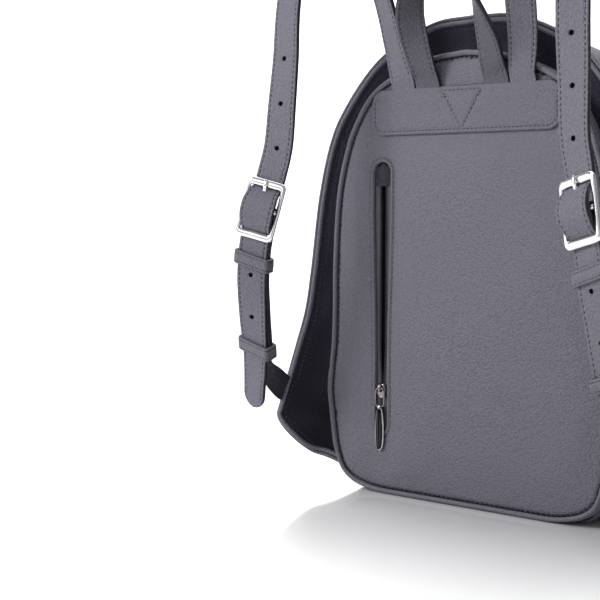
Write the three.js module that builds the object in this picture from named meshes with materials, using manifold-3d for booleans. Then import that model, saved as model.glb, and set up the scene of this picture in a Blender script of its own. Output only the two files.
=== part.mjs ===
// Anti-theft backpack in pebbled leather, seen from the side that the wearer's back touches.
// Millimetres, +Z up, +X to the right, +Y from the back panel towards the front of the bag.
// The origin is at the middle of the flat base that the bag stands on.
import * as THREE from 'three';
import Module from 'manifold-3d';
import { mergeVertices } from 'three/addons/utils/BufferGeometryUtils.js';

const wasm = await Module();
wasm.setup();

// Body of the bag
const bagHeight = 380;
const bagDepth = 125;
const earHalfSpan = 178;
const shellWall = 3;
const gussetWall = 2.2;
const seamGap = 0.35;
const flareDepth = 46;
const flareCurve = 0.25;
const valleyDepth = 25;
const rimPipingRadius = 1.85;

// Padded back panel with its rolled lip
const panelHalfWidth = 131;
const panelHeight = 352;
const panelThickness = 9;
const lipRadius = 2.2;
const lipEdge = 0.3;
const gussetSeat = 12.5;

// Patch that covers the roots of the straps
const patchHalfWidth = 84.5;
const patchHeight = 36;
const patchCorner = 11;
const patchThickness = 2.8;
const patchTop = 325;
const rootThickness = 1;
const rootDepth = 16;

// Straps
const strapWidth = 25;
const rootWidth = 22;
const strapThickness = 3.8;
const lowerThickness = 2.5;
const strapRootX = 53.4;
const handleRootX = 30.6;
const handleRise = 88;
const holeRadius = 2;
const tongueHole = 14.8;
const bulgeSlack = 2.7;
const holePitch = 35;
const layerGap = 0.35;

// Centre-bar buckle and the two keepers below it
const buckleHeight = 48;
const buckleWidth = 33;
const buckleBar = 6.2;
const buckleSide = 3.3;
const buckleThickness = 3;
const centreBarRadius = 1.5;
const tongueRadius = 1.1;
const tongueWidth = 3.4;
const keeperHeight = 11;
const keeperWall = 2.2;
const keeperPlay = 0.5;
const buckleGap = 0.6;
const buckleCorner = 5;
const ringWall = 1;

// Zipped pocket in the back panel
const pocketX = -76;
const windowHalfWidth = 7.8;
const windowBottom = 50;
const windowTop = 268;
const garageLength = 18;
const tapeThickness = 1;
const tapeDepth = 2.8;
const tapeOpenWidth = 4.8;
const pouchWidth = 118;
const pouchDepth = 11;
const pouchWall = 1.5;
const pouchMargin = 5;
const sliderZ = 84;
const sliderWidth = 9;
const sliderLength = 12;
const sliderThickness = 3.2;
const bridgeWidth = 2.4;
const bridgeHeight = 3.4;
const bridgeWall = 1.4;
const linkWidth = 8.6;
const linkLength = 15.4;
const linkWire = 0.65;
const pullerLength = 36;
const barrelWall = 0.9;
const pullerWidth = 9;
const pullerThickness = 1.6;
const pinPlay = 0.35;

const UP = new THREE.Vector3(0, 0, 1);

const leather = { color: 0x595a68, roughness: 0.62, metalness: 0 };
const darkLeather = { color: 0x4c4d5a, roughness: 0.66, metalness: 0 };
const cloth = { color: 0x2b2c33, roughness: 0.95, metalness: 0 };
const chrome = { color: 0xd8d8dc, roughness: 0.12, metalness: 1 };
const gunmetal = { color: 0x4a474a, roughness: 0.25, metalness: 1 };

function table(names, rows) {
  return rows.map((row) => Object.fromEntries(names.map((name, i) => [name, row[i]])));
}

// Half outlines from the top centre line round to the bottom one. Widths of rim and body are
// shares of earHalfSpan, of the panel shares of panelHalfWidth; heights are shares of bagHeight
// and panelHeight; rimY is a share of bagDepth.
const outlineRows = table(
  ['rimX', 'rimZ', 'rimY', 'bodyX', 'bodyZ', 'panelX', 'panelZ'],
  [
    [0.000, 1.000, 0.112, 0.000, 0.974, 0.000, 1.000],
    [0.213, 0.992, 0.112, 0.202, 0.966, 0.244, 0.989],
    [0.506, 0.926, 0.104, 0.472, 0.908, 0.640, 0.926],
    [0.708, 0.813, 0.080, 0.669, 0.800, 0.809, 0.841],
    [0.764, 0.753, 0.064, 0.725, 0.737, 0.863, 0.790],
    [0.815, 0.642, 0.040, 0.775, 0.632, 0.924, 0.699],
    [0.848, 0.468, 0.000, 0.803, 0.463, 0.958, 0.540],
    [0.868, 0.384, -0.024, 0.812, 0.376, 0.962, 0.432],
    [0.910, 0.313, -0.040, 0.815, 0.303, 0.969, 0.347],
    [0.989, 0.171, -0.088, 0.815, 0.163, 1.000, 0.227],
    [1.000, 0.147, -0.096, 0.812, 0.137, 0.985, 0.182],
    [0.983, 0.129, -0.096, 0.806, 0.116, 0.969, 0.136],
    [0.927, 0.097, -0.064, 0.792, 0.087, 0.947, 0.091],
    [0.848, 0.063, 0.016, 0.758, 0.055, 0.893, 0.043],
    [0.775, 0.055, 0.048, 0.702, 0.026, 0.817, 0.020],
    [0.676, 0.038, 0.072, 0.629, 0.008, 0.718, 0.007],
    [0.562, 0.000, 0.092, 0.551, 0.000, 0.580, 0.000],
    [0.000, 0.000, 0.092, 0.000, 0.000, 0.000, 0.000],
  ],
);
const samplesPerRow = 2;

// How the front of the shell closes: depth as a share of bagDepth, size as a share of the body
const frontCentreZ = 0.49;
const frontRows = table(
  ['deep', 'size'],
  [[0.66, 1], [0.80, 0.982], [0.90, 0.94], [0.965, 0.86], [1.0, 0.62]],
);
const flareSteps = [0, 0.33, 0.66, 1];

function halfCurve(x, y, z) {
  const points = outlineRows.map((row) => new THREE.Vector3(x(row), y(row), z(row)));
  const curve = new THREE.CatmullRomCurve3(points, false, 'centripetal');
  return curve.getPoints((points.length - 1) * samplesPerRow);
}

// Closes a half outline with its mirror image, as one loop that repeats no point
function fullLoop(half) {
  const lowered = half.map((p) => new THREE.Vector3(p.x, p.y, Math.max(0, p.z)));
  const mirrored = lowered.slice(1, -1).reverse().map((p) => new THREE.Vector3(-p.x, p.y, p.z));
  return [...lowered, ...mirrored];
}

const rimLoop = fullLoop(halfCurve(
  (row) => row.rimX * earHalfSpan,
  (row) => row.rimY * bagDepth,
  (row) => row.rimZ * bagHeight,
));
const bodyLoop = fullLoop(halfCurve(
  (row) => row.bodyX * earHalfSpan,
  () => flareDepth,
  (row) => row.bodyZ * bagHeight,
));
const panelLoop = fullLoop(halfCurve(
  (row) => row.panelX * panelHalfWidth,
  () => 0,
  (row) => row.panelZ * panelHeight,
));

// Directions in the XZ plane that point into a loop, one for each of its points
function inwardNormals(loop) {
  return loop.map((_, i) => {
    const before = loop[(i + loop.length - 1) % loop.length];
    const after = loop[(i + 1) % loop.length];
    return new THREE.Vector3(after.z - before.z, 0, before.x - after.x).normalize();
  });
}
const rimInward = inwardNormals(rimLoop);
const panelInward = inwardNormals(panelLoop);

function shifted(point, inward, inset, depth) {
  return new THREE.Vector3(point.x + inward.x * inset, depth, point.z + inward.z * inset);
}

function geometryOf(points, triangles) {
  const geometry = new THREE.BufferGeometry();
  const values = points.flatMap((p) => [p.x, p.y, p.z]);
  geometry.setAttribute('position', new THREE.Float32BufferAttribute(values, 3));
  geometry.setIndex(triangles.flat());
  return geometry;
}

function signedVolume(points, triangles) {
  return triangles.reduce((sum, [a, b, c]) => {
    const normal = new THREE.Vector3().crossVectors(points[b], points[c]);
    return sum + points[a].dot(normal) / 6;
  }, 0);
}

function closedBody(points, triangles) {
  const outwards = signedVolume(points, triangles) > 0;
  return geometryOf(points, outwards ? triangles : triangles.map(([a, b, c]) => [a, c, b]));
}

// Joins equal-sized rings of points one after another; ends are closed by flat caps
function loft(rings, { endless = false } = {}) {
  const size = rings[0].length;
  const triangles = [];
  const last = endless ? rings.length : rings.length - 1;
  for (let i = 0; i < last; i += 1) {
    const next = (i + 1) % rings.length;
    for (let j = 0; j < size; j += 1) {
      const k = (j + 1) % size;
      const corners = [i * size + j, i * size + k, next * size + k, next * size + j];
      triangles.push([corners[0], corners[1], corners[2]], [corners[0], corners[2], corners[3]]);
    }
  }
  if (!endless) {
    const lastStart = (rings.length - 1) * size;
    for (const [a, b, c] of capFaces(rings[0])) triangles.push([a, c, b]);
    for (const face of capFaces(rings.at(-1))) triangles.push(face.map((v) => v + lastStart));
  }
  return closedBody(rings.flat(), triangles);
}

function capFaces(ring) {
  const centre = ring.reduce((sum, p) => sum.add(p), new THREE.Vector3()).divideScalar(ring.length);
  const normal = new THREE.Vector3();
  ring.forEach((p, i) => {
    const next = ring[(i + 1) % ring.length];
    normal.add(new THREE.Vector3().crossVectors(p.clone().sub(centre), next.clone().sub(centre)));
  });
  normal.normalize();
  const across = ring[1].clone().sub(ring[0]).normalize();
  const along = new THREE.Vector3().crossVectors(normal, across);
  const flat = ring.map((p) => new THREE.Vector2(p.dot(across), p.dot(along)));
  return THREE.ShapeUtils.triangulateShape(flat, []);
}

function toSolid(geometry) {
  const bare = new THREE.BufferGeometry();
  bare.setAttribute('position', geometry.getAttribute('position'));
  if (geometry.index) bare.setIndex(geometry.index);
  const merged = mergeVertices(bare, 1e-4);
  return new wasm.Manifold(new wasm.Mesh({
    numProp: 3,
    vertProperties: Float32Array.from(merged.getAttribute('position').array),
    triVerts: Uint32Array.from(merged.index.array),
  }));
}

function toGeometry(solid) {
  const mesh = solid.getMesh();
  const geometry = new THREE.BufferGeometry();
  geometry.setAttribute('position', new THREE.BufferAttribute(mesh.vertProperties, 3));
  geometry.setIndex(new THREE.BufferAttribute(mesh.triVerts, 1));
  return geometry;
}

function cut(geometry, ...cutters) {
  return toGeometry(cutters.reduce((solid, tool) => solid.subtract(toSolid(tool)), toSolid(geometry)));
}

function joined(...geometries) {
  const [first, ...rest] = geometries.map(toSolid);
  return toGeometry(rest.reduce((solid, other) => solid.add(other), first));
}

function piece(name, geometry, look) {
  const mesh = new THREE.Mesh(geometry, new THREE.MeshStandardMaterial(look));
  mesh.name = name;
  return mesh;
}

// A flat plate whose outline is drawn in X and Z, from one depth to another
function plate(shape, near, far, curveSegments = 4) {
  const geometry = new THREE.ExtrudeGeometry(shape, {
    depth: far - near,
    bevelEnabled: false,
    curveSegments,
  });
  geometry.rotateX(Math.PI / 2);
  geometry.translate(0, far, 0);
  return geometry;
}

function roundedRectangle(left, bottom, right, top, radius) {
  const shape = new THREE.Shape();
  shape.moveTo(left + radius, bottom);
  shape.lineTo(right - radius, bottom);
  shape.absarc(right - radius, bottom + radius, radius, -Math.PI / 2, 0);
  shape.lineTo(right, top - radius);
  shape.absarc(right - radius, top - radius, radius, 0, Math.PI / 2);
  shape.lineTo(left + radius, top);
  shape.absarc(left + radius, top - radius, radius, Math.PI / 2, Math.PI);
  shape.lineTo(left, bottom + radius);
  shape.absarc(left + radius, bottom + radius, radius, Math.PI, Math.PI * 1.5);
  return shape;
}

// Domed leather shell: side walls from the rim, flared at the ears, then the rounded front
function shellSurface() {
  const flare = flareSteps.map((step) => rimLoop.map((rim, i) => {
    const share = step + flareCurve * step * (1 - step);
    const body = bodyLoop[i];
    return new THREE.Vector3(
      THREE.MathUtils.lerp(rim.x, body.x, share),
      THREE.MathUtils.lerp(rim.y, body.y, step),
      THREE.MathUtils.lerp(rim.z, body.z, share),
    );
  }));
  const centre = frontCentreZ * bagHeight;
  const front = frontRows.map(({ deep, size }) => bodyLoop.map((body) => (
    new THREE.Vector3(body.x * size, deep * bagDepth, centre + (body.z - centre) * size)
  )));
  return [...flare, ...front];
}

function surfaceNormals(rings) {
  const size = rings[0].length;
  return rings.map((ring, i) => ring.map((point, j) => {
    const along = new THREE.Vector3().subVectors(ring[(j + 1) % size], ring[(j + size - 1) % size]);
    const after = rings[Math.min(i + 1, rings.length - 1)][j];
    const before = rings[Math.max(i - 1, 0)][j];
    return along.cross(new THREE.Vector3().subVectors(after, before)).normalize();
  }));
}

const shellRings = shellSurface();

function frontShell() {
  const outer = shellRings.slice();
  const normals = surfaceNormals(outer);
  const inner = outer.map((ring, i) => ring.map((p, j) => (
    p.clone().addScaledVector(normals[i][j], -shellWall)
  )));
  inner.at(-1).forEach((p) => { p.y = bagDepth - shellWall; });
  const lining = inner.filter((_, i) => i % 2 === 0 || i === inner.length - 1);
  return loft([...outer.reverse(), ...lining]);
}

// A point at the rim, moved inwards from the shell's outer face and then down along its wall
const rimDown = rimLoop.map((rim, i) => (
  new THREE.Vector3().subVectors(shellRings[1][i], rim).normalize()
));
const rimNormals = surfaceNormals(shellRings)[0];

function besideRim(i, inset, down) {
  return rimLoop[i].clone()
    .addScaledVector(rimNormals[i], -inset)
    .addScaledVector(rimDown[i], down);
}

// The valley between rim and panel: a thin wall that dips behind the panel's lip
const gussetSteps = 4;
const valleyShare = 0.35;
const gussetDrop = 3.6 * rimPipingRadius;

function gussetRing() {
  const sections = rimLoop.map((rim, i) => {
    const panel = panelLoop[i];
    const start = besideRim(i, shellWall + 2 * seamGap, gussetDrop);
    const end = shifted(panel, panelInward[i], gussetSeat, panelThickness + seamGap);
    const deep = Math.max(valleyDepth, start.y - gussetWall);
    const low = end.clone().lerp(start, valleyShare).setY(deep);
    const profile = new THREE.QuadraticBezierCurve3(start, low, end).getPoints(gussetSteps);
    const round = new THREE.Vector3().crossVectors(rimInward[i], new THREE.Vector3(0, 1, 0));
    const facing = profile.map((p, k) => {
      const before = profile[Math.max(k - 1, 0)];
      const after = profile[Math.min(k + 1, gussetSteps)];
      const slope = new THREE.Vector3().subVectors(after, before);
      const away = new THREE.Vector3().crossVectors(slope, round).normalize();
      return p.clone().addScaledVector(away, gussetWall);
    });
    facing[0] = besideRim(i, shellWall + 2 * seamGap + gussetWall, gussetDrop);
    facing[gussetSteps] = shifted(panel, panelInward[i], gussetSeat - gussetWall, end.y);
    return [...profile, ...facing.reverse()];
  });
  return loft(sections, { endless: true });
}

// A round cord laid along a loop, with its section square to the loop
function piping(loop, radius, sides = 5) {
  const rings = loop.map((centre, i) => {
    const before = loop[(i + loop.length - 1) % loop.length];
    const after = loop[(i + 1) % loop.length];
    const tangent = new THREE.Vector3().subVectors(after, before).normalize();
    const outward = new THREE.Vector3(0, 1, 0).cross(tangent).normalize();
    const depth = new THREE.Vector3().crossVectors(tangent, outward);
    return Array.from({ length: sides }, (_, k) => {
      const angle = (k / sides) * 2 * Math.PI;
      return centre.clone()
        .addScaledVector(outward, radius * Math.cos(angle))
        .addScaledVector(depth, radius * Math.sin(angle));
    });
  });
  return loft(rings, { endless: true });
}

const rimPipingLoop = rimLoop.map((_, i) => (
  besideRim(i, shellWall + seamGap + rimPipingRadius, rimPipingRadius)
));
const lipLoop = panelLoop.map((p, i) => shifted(p, panelInward[i], lipRadius + lipEdge, 0));

function panelBody() {
  const faceInset = 2 * lipRadius + lipEdge + seamGap;
  const stepDepth = lipRadius + seamGap;
  const sections = [[faceInset, 0], [faceInset, stepDepth], [0, stepDepth], [0, panelThickness]];
  return loft(sections.map(([inset, depth]) => (
    panelLoop.map((p, i) => shifted(p, panelInward[i], inset, depth))
  )));
}

// Pocket window: a long slot with round ends
function windowShape(play) {
  const half = windowHalfWidth - play;
  return roundedRectangle(pocketX - half, windowBottom + play, pocketX + half, windowTop - play, half);
}

function pocketPouch() {
  const left = pocketX - windowHalfWidth - pouchMargin;
  const bottom = windowBottom - pouchMargin;
  const top = windowTop + pouchMargin;
  const near = panelThickness + seamGap;
  const outside = plate(
    roundedRectangle(left, bottom, left + pouchWidth, top, pouchMargin),
    near,
    near + pouchDepth,
  );
  const inside = plate(
    roundedRectangle(
      left + pouchWall,
      bottom + pouchWall,
      left + pouchWidth - pouchWall,
      top - pouchWall,
      pouchMargin - pouchWall,
    ),
    near + pouchWall,
    near + pouchDepth - pouchWall,
  );
  return cut(outside, inside, plate(windowShape(0), near - pouchWall, near + 2 * pouchWall));
}

// One side of the zip: closed below the slider, drawn to the window's edge above it
const tapeRows = table(['up', 'open'], [[0, 0], [0.1, 0], [0.2, 0.55], [0.3, 1], [0.9, 1], [1, 1]]);

function zipTape(side) {
  const bottom = windowBottom + windowHalfWidth;
  const top = windowTop - windowHalfWidth;
  const outer = windowHalfWidth - seamGap;
  const inner = seamGap;
  const rings = tapeRows.map(({ up, open }) => {
    const z = THREE.MathUtils.lerp(bottom, top, up);
    const edge = THREE.MathUtils.lerp(inner, outer - tapeOpenWidth, open);
    const corners = [[edge, 0], [outer, 0], [outer, tapeThickness], [edge, tapeThickness]];
    return corners.map(([x, y]) => new THREE.Vector3(pocketX + side * x, tapeDepth + y, z));
  });
  return loft(rings);
}

function zipGarage() {
  const half = windowHalfWidth - seamGap;
  const top = windowTop - seamGap;
  const shape = new THREE.Shape();
  shape.moveTo(pocketX - half, top - garageLength);
  shape.lineTo(pocketX + half, top - garageLength);
  shape.lineTo(pocketX + half, top - half);
  shape.absarc(pocketX, top - half, half, 0, Math.PI);
  return plate(shape, seamGap, tapeDepth - seamGap);
}

// The slider's plate lies on the tapes; its bridge holds the top bar of the link
const bridgeSink = 0.2;
const sliderBack = tapeDepth - seamGap;
const sliderFront = sliderBack - sliderThickness;
const linkY = sliderFront - linkWire - pinPlay;
const linkZ = sliderZ + sliderLength * 0.2;

function zipSlider() {
  const body = plate(
    roundedRectangle(
      pocketX - sliderWidth / 2,
      sliderZ - sliderLength / 2,
      pocketX + sliderWidth / 2,
      sliderZ + sliderLength / 2,
      sliderWidth * 0.3,
    ),
    sliderFront,
    sliderBack,
  );
  const reach = linkWire + pinPlay;
  const bridge = new THREE.BoxGeometry(bridgeWidth, bridgeHeight, 2 * (reach + bridgeWall));
  bridge.translate(pocketX, sliderFront - bridgeHeight / 2 + bridgeSink, linkZ);
  const eye = new THREE.BoxGeometry(2 * bridgeWidth, 2 * reach, 2 * reach);
  eye.translate(pocketX, linkY, linkZ);
  return cut(joined(body, bridge), eye);
}

function zipLink() {
  const half = linkWidth / 2;
  const drop = linkLength;
  const round = half * 0.8;
  const outline = roundedRectangle(-half, -drop, half, 0, round).getPoints(3).slice(0, -1);
  const loop = outline.map((p) => new THREE.Vector3(pocketX + p.x, linkY, linkZ + p.y));
  return piping(loop, linkWire);
}

const pullerEyeZ = linkZ - linkLength;

// Leaf-shaped puller, bare, with a short barrel round the lower bar of the link
function zipPuller() {
  const top = pullerEyeZ - linkWire - pinPlay;
  const bottom = top - pullerLength;
  const half = pullerWidth / 2;
  const shape = new THREE.Shape();
  shape.moveTo(-half * 0.5, top);
  shape.bezierCurveTo(-half, top - 6, -half * 1.1, bottom + 12, -half * 0.75, bottom + 4);
  shape.quadraticCurveTo(0, bottom - 3, half * 0.75, bottom + 4);
  shape.bezierCurveTo(half * 1.1, bottom + 12, half, top - 6, half * 0.5, top);
  const leaf = plate(shape, linkY - pullerThickness / 2, linkY + pullerThickness / 2, 5);
  leaf.translate(pocketX, 0, 0);
  const outer = linkWire + pinPlay + barrelWall;
  const barrelLength = linkWidth * 0.36;
  const barrel = new THREE.CylinderGeometry(outer, outer, barrelLength, 12);
  const bore = new THREE.CylinderGeometry(linkWire + pinPlay, linkWire + pinPlay, linkWidth, 12);
  for (const geometry of [barrel, bore]) {
    geometry.rotateZ(Math.PI / 2);
    geometry.translate(pocketX, linkY, pullerEyeZ);
  }
  return cut(joined(leaf, barrel), bore);
}

// Straps. Routes are rows of across, deep and up, with the way that the width points given by
// its turn about Z and its lift out of the level, both in degrees. Across is a share of
// earHalfSpan, deep of bagDepth and up of bagHeight.
const routeColumns = ['across', 'deep', 'up', 'turn', 'lift'];
const shoulderRows = table(routeColumns, [
  [0.318, -0.076, 0.932, 14, 0],
  [0.338, -0.170, 1.032, 22, 0],
  [0.372, -0.270, 1.112, 28, 0],
  [0.470, -0.370, 1.166, 26, 0],
  [0.580, -0.440, 1.160, 10, 0],
  [0.655, -0.474, 1.106, 6, 0],
  [0.690, -0.484, 1.020, 4, 0],
  [0.700, -0.492, 0.920, 0, 0],
]);
const hangingRows = table(routeColumns, [
  [0.714, -0.506, 0.824, -8, 0],
  [0.727, -0.522, 0.735, -13, 0],
  [0.753, -0.538, 0.682, -16, 0],
  [0.786, -0.572, 0.612, -19, 0],
  [0.817, -0.602, 0.542, -19, 0],
  [0.840, -0.596, 0.468, -17, 0],
  [0.865, -0.544, 0.378, -10, 0],
  [0.886, -0.488, 0.300, 0, 0],
  [0.926, -0.432, 0.223, 5, 0],
  [0.951, -0.400, 0.178, 6, 0],
]);
const tabRows = table(routeColumns, [
  [0.912, -0.345, 0.262, 0, -40],
  [0.926, -0.240, 0.238, 0, -60],
  [0.938, -0.160, 0.220, 0, -67],
  [0.946, -0.090, 0.207, 0, -70],
  [0.944, -0.040, 0.203, 0, -70],
]);

function rowPoint({ across, deep, up }) {
  return new THREE.Vector3(across * earHalfSpan, deep * bagDepth, up * bagHeight);
}

function rowAngles({ turn, lift }) {
  return new THREE.Vector3(turn, lift, 0);
}

// One frame on a route: its place, its direction, its width and the side it shows
function frameAt(place, direction, turn, lift) {
  const tangent = direction.clone().normalize();
  const turned = THREE.MathUtils.degToRad(turn);
  const lifted = THREE.MathUtils.degToRad(lift);
  const width = new THREE.Vector3(
    Math.cos(turned) * Math.cos(lifted),
    Math.sin(turned) * Math.cos(lifted),
    Math.sin(lifted),
  );
  width.addScaledVector(tangent, -width.dot(tangent)).normalize();
  const face = new THREE.Vector3().crossVectors(tangent, width).normalize();
  return { place: place.clone(), tangent, width, face };
}

function framesAlong(points, angles, count) {
  const route = new THREE.CatmullRomCurve3(points, false, 'centripetal');
  const turning = new THREE.CatmullRomCurve3(angles, false, 'centripetal');
  return Array.from({ length: count + 1 }, (_, i) => {
    const share = route.getUtoTmapping(i / count);
    const angle = turning.getPoint(share);
    return frameAt(route.getPoint(share), route.getTangent(share), angle.x, angle.y);
  });
}

// A flat strap of rectangular section through frames, each with its own thickness and width
function ribbon(frames, side = 1) {
  const rings = frames.map(({ place, width, face, wide, thick }) => (
    [[-1, -1], [1, -1], [1, 1], [-1, 1]].map(([across, out]) => {
      const corner = place.clone()
        .addScaledVector(width, (across * wide) / 2)
        .addScaledVector(face, (out * thick) / 2);
      corner.x *= side;
      return corner;
    })
  ));
  return loft(rings);
}

function lengthsOf(frames) {
  let total = 0;
  return frames.map((frame, i) => {
    if (i > 0) total += frame.place.distanceTo(frames[i - 1].place);
    return total;
  });
}

// Thin root of a strap under the patch, then its full thickness above the patch
function rootFrames(x) {
  const y = -seamGap - rootThickness / 2;
  const overLip = -lipRadius - seamGap - strapThickness / 2;
  const heights = [patchTop - rootDepth, patchTop + seamGap, patchTop + 2 * strapThickness];
  const thick = [rootThickness, rootThickness, strapThickness];
  const out = [y, y, overLip];
  return heights.map((z, i) => ({
    ...frameAt(new THREE.Vector3(x, out[i], z), UP, 0, 0),
    wide: rootWidth,
    thick: thick[i],
  }));
}

// How many sections each run of a strap has, and how far apart they lie on the hanging part
const archSteps = 26;
const tabSteps = 16;
const handleSteps = 30;
const turnSteps = 6;
const bulgeStep = 4;
const hangStep = 12;

// Centre line of the hanging part, with the middle of the buckle at zero along it
const hangCount = 84;
const hangFrames = framesAlong(
  [...shoulderRows.slice(-2), ...hangingRows].map(rowPoint),
  [...shoulderRows.slice(-2), ...hangingRows].map(rowAngles),
  hangCount,
);
const hangLengths = lengthsOf(hangFrames);
const buckleShare = 0.486;
const buckleAlong = hangLengths.at(-1) * buckleShare;

function hangFrame(along) {
  const target = THREE.MathUtils.clamp(buckleAlong - along, 0, hangLengths.at(-1));
  const i = Math.min(hangLengths.findIndex((length) => length >= target), hangCount);
  const low = Math.max(i - 1, 0);
  const span = hangLengths[i] - hangLengths[low] || 1;
  const share = (target - hangLengths[low]) / span;
  const a = hangFrames[low];
  const b = hangFrames[i];
  return {
    place: a.place.clone().lerp(b.place, share),
    tangent: a.tangent.clone().lerp(b.tangent, share).normalize(),
    width: a.width.clone().lerp(b.width, share).normalize(),
    face: a.face.clone().lerp(b.face, share).normalize(),
  };
}

// A frame moved out of the centre line by some millimetres towards the side that shows
function raised(along, out, wide, thick) {
  const frame = hangFrame(along);
  frame.place.addScaledVector(frame.face, out);
  return { ...frame, wide, thick };
}

const barAlong = (buckleHeight - buckleBar) / 2;
const barOut = strapThickness / 2 + buckleGap + buckleThickness / 2;
const bulgeReach = barAlong - buckleBar / 2 - buckleGap;
const loopReach = centreBarRadius + layerGap + lowerThickness / 2;
const bulge = barOut + loopReach + layerGap + (lowerThickness + strapThickness) / 2;
const layerStep = (strapThickness + lowerThickness) / 2 + layerGap;

function upperOut(along) {
  const share = Math.min(Math.abs(along) / bulgeReach, 1);
  return bulge * Math.cos((share * Math.PI) / 2) ** 2;
}

const strapTail = -(hangLengths.at(-1) - buckleAlong);
const tipShares = [[0, 0.35], [0.18, 0.68], [0.45, 0.91], [1, 1]];

// Shoulder strap: from the patch over the arch, through the buckle to its round tip
function shoulderFrames() {
  const root = rootFrames(strapRootX);
  const rise = framesAlong(
    [root.at(-1).place, ...shoulderRows.map(rowPoint)],
    [new THREE.Vector3(0, 0, 0), ...shoulderRows.map(rowAngles)],
    archSteps,
  ).map((frame, i) => ({
    ...frame,
    wide: THREE.MathUtils.lerp(rootWidth, strapWidth, i / archSteps),
    thick: strapThickness,
  }));
  const start = buckleAlong - lengthBetweenLastRows();
  const tipLength = strapWidth / 2;
  const hang = [];
  let along = start;
  while (along > strapTail + tipLength + 1) {
    along = Math.max(along - stepAt(along), strapTail + tipLength);
    hang.push(raised(along, upperOut(along), strapWidth, strapThickness));
  }
  const tip = tipShares.slice(0, -1).reverse().map(([up, wide]) => (
    raised(strapTail + tipLength * up, 0, strapWidth * wide, strapThickness)
  ));
  return [...root.slice(0, -1), ...rise, ...hang, ...tip];
}

// Sections lie closer together where the strap bulges over the buckle's bar
function stepAt(along) {
  return Math.abs(along) < buckleHeight ? bulgeStep : hangStep;
}

function lengthBetweenLastRows() {
  const [a, b] = shoulderRows.slice(-2).map(rowPoint);
  return a.distanceTo(b);
}

// A round rod from point to point, for holes and for the tongue
function rod(start, end, radius, side, sides = 8) {
  const axis = new THREE.Vector3().subVectors(end, start);
  const geometry = new THREE.CylinderGeometry(radius, radius, axis.length(), sides);
  geometry.applyQuaternion(new THREE.Quaternion().setFromUnitVectors(
    new THREE.Vector3(0, 1, 0),
    axis.clone().normalize(),
  ));
  const middle = start.clone().lerp(end, 0.5);
  geometry.translate(middle.x, middle.y, middle.z);
  return side > 0 ? geometry : mirroredX(geometry);
}

function mirroredX(geometry) {
  const bare = new THREE.BufferGeometry();
  const source = geometry.index ? geometry.toNonIndexed() : geometry;
  const values = Array.from(source.getAttribute('position').array);
  for (let i = 0; i < values.length; i += 9) {
    for (let k = 0; k < 9; k += 3) values[i + k] *= -1;
    const second = values.slice(i + 3, i + 6);
    values.splice(i + 3, 3, ...values.slice(i + 6, i + 9));
    values.splice(i + 6, 3, ...second);
  }
  bare.setAttribute('position', new THREE.Float32BufferAttribute(values, 3));
  return mergeVertices(bare, 1e-4);
}

// Tongue of the buckle in the buckle's own plane: share of barAlong and height over the bars
const tipOut = barOut + buckleThickness / 2 + layerGap + tongueRadius;
const tongueRows = table(
  ['along', 'out'],
  [[0.12, barOut + 1.2], [0.5, barOut + 2.4], [0.85, tipOut + 0.4], [1.16, tipOut]],
);

function tongueFrames(extra) {
  return tongueRows.map(({ along, out }, i) => {
    const taper = i === tongueRows.length - 1 ? 0.7 : 1;
    const size = 2 * (tongueRadius * taper + extra);
    return raised(along * barAlong, out, size + tongueWidth / 3, size);
  });
}

function holesAt(side) {
  const holes = [];
  for (const step of [-3, -2, 1, 2, 3]) {
    const along = tongueHole + step * holePitch + (step < 0 ? bulgeSlack : 0);
    if (along > strapTail + strapWidth && along < buckleAlong) {
      const { place, face } = hangFrame(along);
      const reach = strapThickness;
      const near = place.clone().addScaledVector(face, -reach);
      const far = place.clone().addScaledVector(face, reach);
      holes.push(rod(near, far, holeRadius, side));
    }
  }
  return holes;
}

function shoulderStrap(side) {
  return cut(ribbon(shoulderFrames(), side), ribbon(tongueFrames(0.5), side), ...holesAt(side));
}

// Lower strap: from the ear up behind the tail, over the centre bar and down behind itself
const keeperAlong = { upper: -41.5, lower: -114.5 };
const foldEnd = keeperAlong.lower - keeperHeight;
const joinBelow = 4;
const joinLength = 6;
const joinSlack = 0.9;

function lowerOut(along) {
  return upperOut(along) - layerStep;
}

function backOut(along) {
  const share = THREE.MathUtils.clamp(-along / barAlong, 0, 1);
  const low = -layerStep - lowerThickness - layerGap;
  return THREE.MathUtils.lerp(barOut - loopReach, low, share);
}

function lowerFrames() {
  const join = foldEnd + joinBelow;
  const top = join + joinLength;
  const meet = raised(join, lowerOut(join) - joinSlack, strapWidth, lowerThickness);
  const above = raised(top, lowerOut(top) - joinSlack / 2, strapWidth, lowerThickness);
  const rising = framesAlong(
    [...tabRows.map(rowPoint).reverse(), meet.place, above.place],
    [...tabRows.map(rowAngles).reverse(), new THREE.Vector3(0, 0, 0), new THREE.Vector3(0, 0, 0)],
    tabSteps,
  ).map((frame) => ({ ...frame, wide: strapWidth, thick: lowerThickness }));
  const front = [];
  for (let along = top + joinLength; along < -3; along += Math.min(stepAt(along), -along)) {
    front.push(raised(along, lowerOut(along), strapWidth, lowerThickness));
  }
  const turn = [];
  for (let i = 0; i <= turnSteps; i += 1) {
    const angle = (i / turnSteps) * Math.PI;
    const frame = raised(0, barOut, strapWidth, lowerThickness);
    const outward = frame.face.clone().multiplyScalar(Math.cos(angle));
    outward.addScaledVector(frame.tangent, -Math.sin(angle));
    frame.place.addScaledVector(outward, loopReach);
    turn.push({ ...frame, face: outward });
  }
  const back = [];
  for (let along = -4; along > foldEnd; along -= stepAt(along)) {
    const frame = raised(along, backOut(along), strapWidth, lowerThickness);
    back.push({ ...frame, face: frame.face.negate() });
  }
  const flipped = rising.map((frame) => (
    frame.face.dot(meet.face) < 0 ? { ...frame, face: frame.face.clone().negate() } : frame
  ));
  return [...flipped, ...front, ...turn, ...back];
}

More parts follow.
